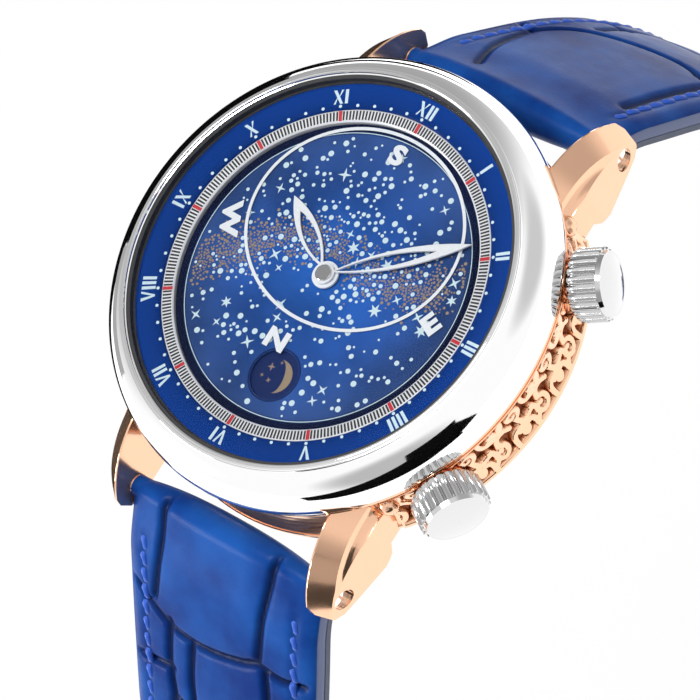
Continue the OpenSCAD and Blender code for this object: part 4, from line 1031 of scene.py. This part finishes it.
class WATCH_OT_relief(bpy.types.Operator):
    """Carve the scrollwork of the case band between the lugs on both sides"""

    bl_idname = "watch.relief"
    bl_label = "Case relief"

    def execute(self, context):
        strands = scrollwork(2 * BAND_HALF_ANGLE * BAND_R, random.Random(4))
        distance = distance_to([place for strand in strands for place in strand])
        for name, middle, crowns in (("case_relief_right", 0.0, CROWN_ANGLES), ("case_relief_left", math.pi, [])):
            belongs(self.panel(name, middle, distance, crowns, context.scene.watch_case), "case", "rose_gold")
        return {"FINISHED"}

    def panel(self, name, middle, distance, crowns, sizes):
        """One side: a curved plate whose face follows the strands."""
        across, along = 78, 470
        heights = []

        def shape(u, v):
            z = BAND_Z[0] - 0.1 + (BAND_Z[1] - BAND_Z[0] + 0.15) * u
            angle = BAND_HALF_ANGLE * (2 * v - 1)
            run = angle * BAND_R
            rail = np.minimum(np.abs(z - BAND_Z[0] - 0.12), np.abs(z - BAND_Z[1] + 0.1))
            ends = BAND_HALF_ANGLE * BAND_R - np.abs(run)
            near = np.minimum(distance(run, z), np.minimum(rail + 0.05, ends))
            foot = sizes.strand / 2 + 0.1
            crest = 0.82 + 0.18 * np.sqrt(np.clip(1 - (near / foot) ** 2, 0, 1))
            lift = ease((foot - near) / 0.16) * crest
            for crown in crowns:
                offset = np.hypot(run - crown * BAND_R, z - CROWN_Z)
                lift = np.where(offset < CROWN_ROOM, 0.0, lift)
            edge = (u < 1e-6) | (u > 1 - 1e-6) | (v < 1e-6) | (v > 1 - 1e-6)
            heights.append(np.where(edge, 0.0, lift))
            base = np.where(edge, -0.25, 0.015)
            radius = band_radius(z) + base + heights[0] * sizes.relief
            turn = middle + angle
            return np.stack([radius * np.cos(turn), radius * np.sin(turn), z], 1)

        piece = shaped_grid(across, along, shape)
        keep_values(piece, "relief", heights[0])
        edit(piece)
        bpy.ops.mesh.normals_make_consistent(inside=False)
        done(piece, name, finish("relief_gold"))
        outward = sum((p.normal.dot(Vector((p.center.x, p.center.y, 0))) for p in piece.data.polygons), 0.0)
        if outward < 0:
            edit(piece)
            bpy.ops.mesh.flip_normals()
            bpy.ops.object.mode_set(mode="OBJECT")
        return smooth(piece, 60)


# Strap

# Slope of both halves at the lug bar, and their courses as sections of a
# length in millimetres that turn down by an angle in degrees
START_A = 53.0
SHORT = [(12.0, 0.0), (20.0, 22.0), (28.5, 25.0), (20.0, 0.0)]
LONG = [(21.5, 0.0), (16.1, 37.0), (36.0, 18.0), (48.0, 0.0)]
TAIL_TIP = 9.0
TAPER_L = 60.0
# The roll round the lug bar and its bore, and the punched holes
ROLL_R = 1.75
BORE_R = 1.0
HOLE_R = 1.0
HOLE_FIRST = 16
HOLE_PITCH = 6.5
HOLE_COUNT = 7


def on_route(route, lengths):
    """Place (y, z) and heading in radians at each length along a route."""

    def moved(y, z, heading, length, turn, step):
        """Places and headings some steps into a section that starts at y, z."""
        if not turn:
            return y + step * math.cos(heading), z - step * math.sin(heading), heading + 0 * step
        now = heading + turn * step / length
        radius = length / turn
        return (y + radius * (np.sin(now) - math.sin(heading)),
                z - radius * (math.cos(heading) - np.cos(now)), now)

    lengths = np.asarray(lengths, float)
    out = np.zeros((len(lengths), 3))
    start, at = (BAR_Y, BAR_Z, math.radians(START_A)), 0.0
    for length, degrees in route:
        section = (*start, length, math.radians(degrees))
        inside = (lengths >= at) | (at == 0)
        out[inside] = np.stack(moved(*section, lengths[inside] - at), 1)
        start = moved(*section, length)
        at += length
    return out


class Half:
    """Shape of one strap half: where a point at (length, across, out) lies."""

    def __init__(self, route, side, tip, scales, sizes):
        self.route, self.side, self.tip, self.scales = route, side, tip, scales
        self.total = sum(length for length, _ in route)
        self.pad, self.end, self.lining, self.lift = sizes.pad, sizes.end, sizes.lining, sizes.lift
        self.end_width = sizes.end_width

    def thick(self, l):
        """Thickness, from the roll at the lug bar over the padding to the end."""
        near = 2 * ROLL_R - 0.1
        return near + (self.pad - near) * ease(l / 5) - (self.pad - self.end) * ease((l - 8) / 48)

    def lifted(self, l):
        """How far the padding bows outwards."""
        return self.lift * ease(l / 6) * (1 - ease((l - 22) / 34))

    def width(self, l):
        """Width, with the taper and the round tail."""
        wide = STRAP_W - (STRAP_W - self.end_width) * ease(l / TAPER_L)
        if self.tip:
            u = np.clip((l - self.total + self.tip) / self.tip, 0, 1)
            wide = wide * np.sqrt(1 - 0.97 * u * u)
        return wide

    def drop(self, l):
        """How far the crowned face falls from its middle to its sides."""
        return 0.3 + 0.55 * (self.thick(l) - 2.2)

    def face(self, l, x):
        """Height of the crowned outer face over the middle line."""
        share = np.abs(x) / (self.width(l) / 2)
        edge = np.clip((share - 0.93) / 0.07, 0, 1)
        return self.thick(l) / 2 - self.drop(l) * share ** 2.5 - 0.22 * edge * edge

    def to_space(self, l, x, n):
        """Places in millimetres; lengths below zero wind back round the lug bar."""
        p = on_route(self.route, np.maximum(l, 0))
        back = np.clip(-l / ROLL_R, 0, None)
        n = n + self.lifted(np.maximum(l, 0))
        y = p[:, 0] + n * np.sin(p[:, 2] - back)
        z = p[:, 1] + n * np.cos(p[:, 2] - back)
        return np.stack([x, self.side * y, z], 1)


def through(places, count=9):
    """A smooth line through (length, across) places."""
    ends = [places[0]] + list(places) + [places[-1]]
    line = []
    for p0, p1, p2, p3 in zip(ends, ends[1:], ends[2:], ends[3:]):
        for k in range(count):
            t = k / count
            line.append(tuple(
                0.5 * (2 * b + (c - a) * t + (2 * a - 5 * b + 4 * c - d) * t * t + (3 * b - a - 3 * c + d) * t ** 3)
                for a, b, c, d in zip(p0, p1, p2, p3)
            ))
    return line + [places[-1]]


# The large scales next to the lugs, as grooves through (length, across) places
LONG_SCALES = [
    [(-2.4, -6.3), (0.4, -6.7), (4, -6.9), (9.4, -7.6)],
    [(-2.4, 6.4), (0.2, 6.1), (5, 5.3), (10.2, 4.8)],
    [(8.6, -10.7), (10.2, -8.2), (11.5, -5.5), (11.9, -2.8), (11.7, 0), (11, 3), (10.4, 4.8), (10.9, 7.5),
     (10.4, 10.7)],
    [(12.4, -2.9), (16, -3.1), (20, -2.7)],
]
SHORT_SCALES = [
    [(1.5, -5.2), (5, -6.6), (9, -7.5), (13, -7.6), (17, -5.6), (19.6, -1.0), (20.2, 3.5), (18.8, 7.6),
     (18.2, 10.7)],
    [(12.5, -7.8), (13.5, -10.7)],
    [(6, 7.9), (11, 7.7), (18.6, 7.6)],
]


# Length of a row of scales, large up to a length and small past it
LARGE_ROW, SMALL_ROW, LARGE_END = 8.6, 7.2, 34


def scale_grooves(half, rng):
    """Grooves between the scales as lists of (length, across) places."""
    lines = [through(places) for places in half.scales]
    rows = [max(l for l, _ in half.scales[0 if half.side > 0 else 2]) - 0.9]
    while rows[-1] < half.total - 6:
        rows.append(rows[-1] + (LARGE_ROW if rows[-1] < LARGE_END else SMALL_ROW) + rng.uniform(-0.8, 0.8))
    shifts = [rng.uniform(-0.5, 0.5) for _ in rows]
    for i, (a, b) in enumerate(zip(rows, rows[1:])):
        here, after = (half.width(np.array([l]))[0] * 0.27 for l in (a, b))
        for s in (-1, 1):
            x0, x1 = s * (here + shifts[i]), s * (after + shifts[i + 1])
            lines.append(through([(a, x0), ((a + b) / 2, (x0 + x1) / 2 + s * 0.4), (b, x1)]))
            l = a + (b - a) * 0.6 + rng.uniform(-0.9, 0.9)
            lines.append(through([(l, (x0 + x1) / 2), (l + rng.uniform(-1, 1), s * 9.9)]))
        bow, end = 1.2 - 0.1 * i, after + shifts[i + 1]
        lines.append(through([(b, -end), (b + bow, -after / 3), (b + bow, after / 2), (b, end)]))
        if i % 2 == half.side % 2:
            middle = rng.uniform(-1.2, 1.2)
            lines.append(through([(a + bow, middle), ((a + b) / 2, middle + 0.3), (b + bow * 0.8, middle - 0.2)]))
    return lines


STITCH_FIRST = 3.4
STITCH_INSET = 2.1
STITCH_LEAN = math.radians(11)
# Stitches overlap a little: from one to the next is this share of their length
STITCH_PITCH = 0.93
GROOVE_W = 0.36
SEAM_W = 0.42
SEAM_DEPTH = 0.14


def strap_top(name, half, seed, sizes, holes):
    """Outer leather: a closed skin whose face has scales, grooves and seam channels."""
    distance_from_groove = distance_to([
        (l0 + (l1 - l0) * k / 4, x0 + (x1 - x0) * k / 4)
        for line in scale_grooves(half, random.Random(seed))
        for (l0, x0), (l1, x1) in zip(line, line[1:])
        for k in range(4)
    ])
    wrap = math.pi * ROLL_R
    face_share, spacing, across = 0.86, 0.25, 124
    along = int((half.total + wrap) / spacing)
    grooves = []

    def shape(u, v):
        l = -wrap + (half.total + wrap) * v
        wide = half.width(l)
        top = u <= face_share
        s = np.where(top, u / face_share, 1.0)
        x = (s - 0.5) * wide
        face = half.face(np.maximum(l, 0), x)
        distance = distance_from_groove(l, x)
        dent = np.minimum(1.0, 1.3 * np.exp(-(distance / GROOVE_W) ** 2))
        swell = 0.16 * np.sqrt(np.clip(distance / 2.4, 0, 1))
        seam_x = wide / 2 - STITCH_INSET
        channel = np.exp(-((np.abs(x) - seam_x) / SEAM_W) ** 2) * ease((l - STITCH_FIRST + 1) / 2)
        channel = channel * ease((half.total - 3.0 - l) / 1.5)
        edge = ease((0.985 - 2 * np.abs(s - 0.5)) / 0.1)
        fade = ease((l + 3.5) / 3)
        carve = (dent * sizes.groove - swell) * edge * fade + SEAM_DEPTH * channel * edge
        # The groove mask paints shade into the grooves and, more faintly, into the seam channels.
        grooves.append(np.where(top, np.clip(dent * edge * fade + 0.35 * channel, 0, 1), 0.0))
        floor = -half.thick(np.maximum(l, 0)) / 2 + half.lining
        bore = np.sqrt(np.clip(BORE_R ** 2 - np.maximum(l, 0) ** 2, 0, None))
        floor = np.where(l < BORE_R, bore, floor)
        # Past the face the skin goes down one side, under the floor and up the other side
        turn = (u - face_share) / (1 - face_share)
        rim = half.face(np.maximum(l, 0), wide / 2)
        down = np.interp(turn, (0, 0.25, 0.75, 1), (0, 1, 1, 0))
        n = np.where(top, face - carve, rim + (floor - rim) * down)
        x = np.where(top, x, wide * np.interp(turn, (0.25, 0.75), (0.5, -0.5)))
        return half.to_space(l, x, n)

    piece = shaped_grid(across, along, shape)
    keep_values(piece, "groove", grooves[0])
    welded(piece)
    if holes:
        cut_holes(piece, half)
    done(piece, name, finish("leather"), finish("edge_paint"))
    # Faces that look sideways take the edge paint
    for skin in piece.data.polygons:
        skin.material_index = 1 if abs(skin.normal.x) > 0.85 else 0
    return smooth(piece, 50)


def cut_holes(piece, half):
    """Punches the buckle holes through a piece."""
    cutters = []
    for i in range(HOLE_COUNT):
        y, z, heading = on_route(half.route, [half.total - HOLE_FIRST - HOLE_PITCH * i])[0]
        start_clean()
        bpy.ops.mesh.primitive_cylinder_add(
            vertices=24, radius=HOLE_R * MM, depth=8 * MM, location=(0, half.side * y * MM, z * MM),
            rotation=(half.side * (-heading), 0, 0),
        )
        cutters.append(bpy.context.object)
    cutter = joined(cutters)
    modifier = piece.modifiers.new("holes", "BOOLEAN")
    modifier.operation = "DIFFERENCE"
    modifier.solver = "EXACT"
    modifier.object = cutter
    pick(piece)
    bpy.ops.object.modifier_apply(modifier=modifier.name)
    bpy.data.objects.remove(cutter)


def strap_lining(name, half, holes):
    """Smooth lining leather with rounded edges."""
    start, corner = 0.35, 0.28
    ring = np.array([
        (-0.5, 1.0), (0.5, 1.0), (0.5, corner), (0.5 - corner / 20, 0.07), (0.5 - corner / 9, 0.0),
        (-0.5 + corner / 9, 0.0), (-0.5 + corner / 20, 0.07), (-0.5, corner), (-0.5, 1.0),
    ])

    def shape(u, v):
        l = start + (half.total - start) * v
        at = u * (len(ring) - 1)
        i = np.clip(at.astype(int), 0, len(ring) - 2)
        f = (at - i)[:, None]
        across, up = (ring[i] * (1 - f) + ring[i + 1] * f).T
        return half.to_space(l, across * half.width(l), -half.thick(l) / 2 + half.lining * up)

    piece = welded(shaped_grid(len(ring) - 1, int(half.total / 0.8), shape))
    if holes:
        cut_holes(piece, half)
    return smooth(done(piece, name, finish("lining")), 40)


def one_stitch(sizes):
    """A short twisted thread lying along X, its ends dipping into the leather."""
    sides, rings = 8, 9

    def shape(u, v):
        t = 2 * v - 1
        turn = 2 * math.pi * u
        ply = 0.16 * np.cos(2 * turn + 7 * v)
        r = sizes.thread * np.sqrt(np.clip(1.02 - t ** 4, 0.02, 1)) * (1 + ply)
        dip = 0.3 * t ** 4
        return np.stack([t * sizes.stitch / 2, r * np.cos(turn), r * np.sin(turn) - dip], 1)

    return welded(shaped_grid(sides, rings, shape))


def seam(name, half, sizes, body):
    """Rows of stitches along both edges of a strap half."""
    master = one_stitch(sizes)
    pattern = points_of(master)
    faces = [list(p.vertices) for p in master.data.polygons]
    bpy.data.objects.remove(master)
    points, polys = [], []
    pitch = sizes.stitch * STITCH_PITCH
    last = half.total - (5.6 if half.tip else 3.4)
    count = int((last - STITCH_FIRST) / pitch)
    dl = pattern[:, 0] * math.cos(STITCH_LEAN) - pattern[:, 1] * math.sin(STITCH_LEAN)
    dx = pattern[:, 0] * math.sin(STITCH_LEAN) + pattern[:, 1] * math.cos(STITCH_LEAN)
    for s in (-1, 1):
        for i in range(count):
            l = STITCH_FIRST + pitch * (i + 0.5)
            x = s * (half.width(np.array([l]))[0] / 2 - STITCH_INSET)
            base = half.face(np.array([l]), np.array([x]))[0] - 0.1
            spots = half.to_space(l + dl, x + dx, base + pattern[:, 2])
            first = len(points)
            points += spots.tolist()
            polys += [[first + k for k in face] for face in faces]
    mesh = bpy.data.meshes.new(name)
    mesh.from_pydata([[c * MM for c in p] for p in points], [], polys)
    piece = added(name, mesh)
    edit(piece)
    bpy.ops.mesh.normals_make_consistent(inside=False)
    belongs(smooth(done(piece, name, finish("thread")), 80), body, "leather")


def strap_half(name, half, seed, sizes, holes=False):
    """Makes the padded leather, the lining and the stitches of one half."""
    top = strap_top(name + "_leather", half, seed, sizes, holes)
    belongs(top, name, "leather", name)
    belongs(strap_lining(name + "_lining_leather", half, holes), name, "lining", name + "_lining")
    seam(name + "_stitches", half, sizes, name)


class WATCH_OT_strap_short(bpy.types.Operator):
    """Model the buckle half of the strap"""

    bl_idname = "watch.strap_short"
    bl_label = "Short strap half"

    def execute(self, context):
        sizes = context.scene.watch_strap
        strap_half("strap_short", Half(SHORT, 1, 0, SHORT_SCALES, sizes), 21, sizes)
        return {"FINISHED"}


class WATCH_OT_strap_long(bpy.types.Operator):
    """Model the long half of the strap with its buckle holes"""

    bl_idname = "watch.strap_long"
    bl_label = "Long strap half"

    def execute(self, context):
        sizes = context.scene.watch_strap
        strap_half("strap_long", Half(LONG, -1, TAIL_TIP, LONG_SCALES, sizes), 8, sizes, holes=True)
        return {"FINISHED"}


KEEPER_W = 4.0
KEEPER_T = 0.9
KEEPER_CORNER = 0.8
# Power that rounds the band's section: 1 is an oval, 0 a sharp block
KEEPER_EDGE = 0.35
# Solid, body, place before the buckle's end and room under the lining
KEEPERS = (("fixed_keeper", "strap_short", 5.2, 0.05), ("free_keeper", "keeper", 11.0, 0.15))


def loop_places(wide, low, high, corner):
    """Places and outward directions round a rectangle with round corners."""
    places = []
    for k, (x, n) in enumerate(((1, 1), (-1, 1), (-1, -1), (1, -1))):
        centre = x * (wide / 2 - corner), (high - corner) if n > 0 else (low + corner)
        for i in range(9):
            a = math.pi / 2 * (k + i / 8)
            places.append((*around(*centre, corner, a), math.cos(a), math.sin(a)))
    return np.array(places + places[:1])


class WATCH_OT_keepers(bpy.types.Operator):
    """Model the fixed and the free leather keeper"""

    bl_idname = "watch.keepers"
    bl_label = "Keepers"

    def execute(self, context):
        sizes = context.scene.watch_strap
        half = Half(SHORT, 1, 0, SHORT_SCALES, sizes)
        for node, body, back, inset in KEEPERS:
            low = -sizes.end / 2 - inset
            round_loop = loop_places(sizes.end_width + 0.6, low, low + 2 * sizes.end + 0.6, KEEPER_CORNER)
            steps = np.linspace(0, 1, len(round_loop))
            y0, z0, heading = on_route(half.route, [half.total - back])[0]

            def shape(u, v):
                x, n, dx, dn = (np.interp(u, steps, round_loop[:, k]) for k in range(4))
                c, s = np.cos(2 * math.pi * v), np.sin(2 * math.pi * v)
                along = KEEPER_W / 2 * np.sign(c) * np.abs(c) ** KEEPER_EDGE
                out = KEEPER_T * (0.5 + 0.5 * np.sign(s) * np.abs(s) ** KEEPER_EDGE)
                n = n + dn * out
                y = y0 + along * math.cos(heading) + n * math.sin(heading)
                z = z0 - along * math.sin(heading) + n * math.cos(heading)
                return np.stack([x + dx * out, y, z], 1)

            piece = welded(shaped_grid(144, 40, shape), ends=False)
            belongs(smooth(done(piece, node + "_leather", finish("leather")), 50), body, "leather", node)
        return {"FINISHED"}


class WATCH_OT_buckle_bar(bpy.types.Operator):
    """Turn the bar of the buckle with a running fit in the frame"""

    bl_idname = "watch.buckle_bar"
    bl_label = "Buckle bar"

    def execute(self, context):
        low, high = corners("buckle_bar")
        middle, slack = (low + high) / 2, 0.04
        start_clean()
        bpy.ops.mesh.primitive_cylinder_add(
            vertices=48, radius=((high.z - low.z) / 2 - slack) * MM, depth=(high.x - low.x) * MM,
            location=middle * MM, rotation=(0, math.pi / 2, 0),
        )
        bpy.ops.object.transform_apply()
        piece = smooth(done(bpy.context.object, "turned_buckle_bar", finish("steel")), 40)
        belongs(piece, "strap_short", "steel", "buckle_bar")
        return {"FINISHED"}


# Stage

TO_CAMERA = Vector((0.5423, -0.1287, 0.8297))
CAMERA_UP = Vector((-0.3919, 0.8349, 0.3856))
CAMERA_RIGHT = Vector((0.7426, 0.5351, -0.4025))
# Soft grey parts of the surroundings that polished metal mirrors:
# direction, cosine at which the shade starts, and its darkest level
SHADES = [
    ((-0.76, 0.52, 0.38), 0.4, 0.38),
    ((0.57, -0.72, 0.39), 0.85, 0.5),
    ((0.5, 0.72, 0.5), 0.85, 0.6),
]
# Brightness of the surroundings in polished metal, and the share of the
# floor's white that takes no shade
MIRRORED_WORLD = 1.05
FLOOR_GLOW = 0.93
# The floor lies this far under the solids, and the cards on it this far over them, in metres
FLOOR_DROP = 0.0005
CARD_LIFT = 0.002
# Where the camera looks: the dial's height, and millimetres right and up from its middle
DIAL_Z = 10.9
TARGET_RIGHT = 2.3
TARGET_UP = -6.55


def aimed(obj, place, target):
    """Turns a lamp or panel at a place towards a target."""
    obj.location = place
    obj.rotation_euler = (Vector(target) - Vector(place)).to_track_quat("-Z", "Y").to_euler()


def soft_lamp(name, place, size, power):
    """A round soft lamp that looks at the watch."""
    data = bpy.data.lights.new(name, "AREA")
    data.shape = "DISK"
    data.size = size
    data.energy = power
    aimed(added(name, data), place, (0, 0, 0))


def place_at(azimuth, elevation, distance):
    """A place seen from the dial in a direction given in degrees."""
    flat = distance * math.cos(math.radians(elevation))
    turn = math.radians(azimuth)
    return flat * math.cos(turn), flat * math.sin(turn), distance * math.sin(math.radians(elevation)) + DIAL_Z * MM


def card(name, place, size, color, glow, target=(0, 0, 0), roll=0.0):
    """A flat panel that the polished metal mirrors."""
    start_clean()
    bpy.ops.mesh.primitive_plane_add(size=1)
    panel = bpy.context.object
    panel.name = name
    panel.scale = (size[0], size[1], 1)
    aimed(panel, place, target)
    panel.rotation_euler = (panel.rotation_euler.to_matrix() @ Matrix.Rotation(math.radians(roll), 3, "Z")).to_euler()
    stuff = Finish(name, color, 0.9, Specular_IOR_Level=0.0, Emission_Color=(1, 1, 1, 1), Emission_Strength=glow)
    panel.data.materials.append(stuff.material)
    panel.visible_camera = False
    panel.visible_diffuse = False
    panel.visible_shadow = False


class WATCH_OT_stage(bpy.types.Operator):
    """Set up the floor, the lamps, the cards and the camera"""

    bl_idname = "watch.stage"
    bl_label = "Stage"

    def execute(self, context):
        scene, stage = context.scene, context.scene.watch_stage
        scene.view_settings.view_transform = "Standard"
        self.world(scene, stage)
        self.floor(stage)
        soft_lamp("key_lamp", (-0.03, -0.05, 0.59), 0.3, stage.key_power)
        soft_lamp("side_lamp", place_at(231, 13, 0.48), 0.22, stage.side_power)
        black, white = (0.004, 0.004, 0.004), (0.9, 0.9, 0.9)
        for name, x, y, size, color, glow in (
            ("dark_floor_near", -0.4825, 0.05, (0.775, 0.22), black, 0.0),
            ("dark_floor_far", -0.375, 0.355, (0.25, 0.39), black, 0.0),
            ("bright_floor_card", -0.15, 0.28, (0.19, 0.2), white, 2.3),
        ):
            card(name, (x, y, CAD_BOX[0][2] + CARD_LIFT), size, color, glow, target=(x, y, 1))
        for name, azimuth, elevation, distance, size, glow, roll in (
            ("dark_card_left", 166, -4, 0.42, (0.23, 0.15), 0.0, 0),
            ("grey_card_left", 193, -3, 0.42, (0.17, 0.14), 0.42, 0),
            ("dark_card_right", -48, -7, 0.4, (0.56, 0.21), 0.0, 20),
            ("dark_card_tall", -31, 4, 0.42, (0.17, 0.32), 0.0, 0),
        ):
            card(name, place_at(azimuth, elevation, distance), size, black, glow, roll=roll)
        self.camera(scene, stage)
        return {"FINISHED"}

    def world(self, scene, stage):
        """White surroundings, in which polished metal also sees soft grey parts."""
        world = bpy.data.worlds.new("studio")
        scene.world = world
        world.use_nodes = True
        world.node_tree.nodes.clear()
        sky = Nodes(world.node_tree)
        soft, plain, mirrored = (
            sky.node("ShaderNodeBackground", Color=(1, 1, 1, 1), Strength=strength)
            for strength in (stage.world, 1.0, 1.0)
        )
        direction = sky.node("ShaderNodeTexCoord").outputs["Generated"]
        shade = None
        for toward, reach, low in SHADES:
            facing = sky.node("ShaderNodeVectorMath", direction, operation="DOT_PRODUCT")
            facing.inputs[1].default_value = Vector(toward).normalized()
            fall = sky.node("ShaderNodeMapRange", facing.outputs["Value"], interpolation_type="SMOOTHSTEP",
                            From_Min=reach, From_Max=0.98, To_Min=1.0, To_Max=low)
            product = sky.node("ShaderNodeMath", operation="MULTIPLY")
            product.inputs[0].default_value = MIRRORED_WORLD
            if shade:
                sky.link(shade, product.inputs[0])
            sky.link(fall.outputs["Result"], product.inputs[1])
            shade = product.outputs[0]
        sky.link(shade, mirrored.inputs["Strength"])
        rays = sky.node("ShaderNodeLightPath").outputs
        light = soft.outputs[0]
        for ray, seen in (("Is Glossy Ray", mirrored), ("Is Transmission Ray", plain), ("Is Camera Ray", plain)):
            light = sky.node("ShaderNodeMixShader", rays[ray], light, seen.outputs[0]).outputs[0]
        sky.node("ShaderNodeOutputWorld", light)

    def floor(self, stage):
        """A white floor that shows little shade to the camera and is brighter in polished metal."""
        start_clean()
        bpy.ops.mesh.primitive_plane_add(size=6, location=(0, 0, CAD_BOX[0][2] - FLOOR_DROP))
        floor = bpy.context.object
        floor.name = "floor"
        stuff = Finish("floor_white", (0.92, 0.92, 0.92), 0.8, Specular_IOR_Level=0.1)
        rays = stuff.node("ShaderNodeLightPath").outputs
        camera, glossy = rays["Is Camera Ray"], rays["Is Glossy Ray"]
        glow = stuff.node("ShaderNodeEmission")
        stuff.link(stuff.span(glossy, 1.0, stage.mirrored_floor), glow.inputs["Strength"])
        seen = stuff.node("ShaderNodeMath", camera, glossy, operation="MAXIMUM")
        share = stuff.node("ShaderNodeMath", seen.outputs[0], operation="MULTIPLY")
        share.inputs[1].default_value = FLOOR_GLOW
        mix = stuff.node("ShaderNodeMixShader", share.outputs[0], stuff.shader.outputs[0], glow.outputs[0])
        out = next(n for n in stuff.tree.nodes if n.type == "OUTPUT_MATERIAL")
        stuff.link(mix.outputs[0], out.inputs["Surface"])
        floor.data.materials.append(stuff.material)

    def camera(self, scene, stage):
        """A long lens above the crown side."""
        data = bpy.data.cameras.new("camera")
        data.lens = stage.lens
        data.sensor_width = 36
        data.clip_start = 0.01
        data.clip_end = 20
        camera = added("camera", data)
        target = Vector((0, 0, DIAL_Z)) + CAMERA_RIGHT * TARGET_RIGHT + CAMERA_UP * TARGET_UP
        place = target * MM + TO_CAMERA * stage.distance
        turn = Matrix((CAMERA_RIGHT, CAMERA_UP, TO_CAMERA)).transposed().to_4x4()
        camera.matrix_world = Matrix.Translation(place) @ turn
        scene.camera = camera


class WATCH_PT_panel(bpy.types.Panel):
    """Buttons that build the watch piece by piece"""

    bl_label = "Watch"
    bl_idname = "WATCH_PT_panel"
    bl_space_type = "VIEW_3D"
    bl_region_type = "UI"
    bl_category = "Watch"

    def draw(self, context):
        for step in STEPS:
            self.layout.operator(step.bl_idname)
        for name in GROUPS:
            box = self.layout.box()
            group = getattr(context.scene, name)
            for key in group.__annotations__:
                box.prop(group, key)


GROUPS = {
    "watch_dial": WatchDial,
    "watch_strap": WatchStrap,
    "watch_case": WatchCase,
    "watch_finish": WatchFinish,
    "watch_stage": WatchStage,
}
STEPS = (
    WATCH_OT_stage,
    WATCH_OT_finishes,
    WATCH_OT_hour_ring,
    WATCH_OT_minute_track,
    WATCH_OT_stars,
    WATCH_OT_moon,
    WATCH_OT_horizon,
    WATCH_OT_bezel,
    WATCH_OT_relief,
    WATCH_OT_strap_short,
    WATCH_OT_strap_long,
    WATCH_OT_keepers,
    WATCH_OT_buckle_bar,
)


def register():
    """Adds the sizes, the steps and the panel."""
    for group in GROUPS.values():
        bpy.utils.register_class(group)
    for name, group in GROUPS.items():
        setattr(bpy.types.Scene, name, bpy.props.PointerProperty(type=group))
    for step in STEPS:
        bpy.utils.register_class(step)
    bpy.utils.register_class(WATCH_PT_panel)


def unregister():
    """Takes the panel, the steps and the sizes away again."""
    bpy.utils.unregister_class(WATCH_PT_panel)
    for step in reversed(STEPS):
        bpy.utils.unregister_class(step)
    for name, group in reversed(list(GROUPS.items())):
        delattr(bpy.types.Scene, name)
        bpy.utils.unregister_class(group)


def main():
    """Runs every step."""
    register()
    for step in STEPS:
        family, action = step.bl_idname.split(".")
        getattr(getattr(bpy.ops, family), action)()


if __name__ == "__main__":
    main()
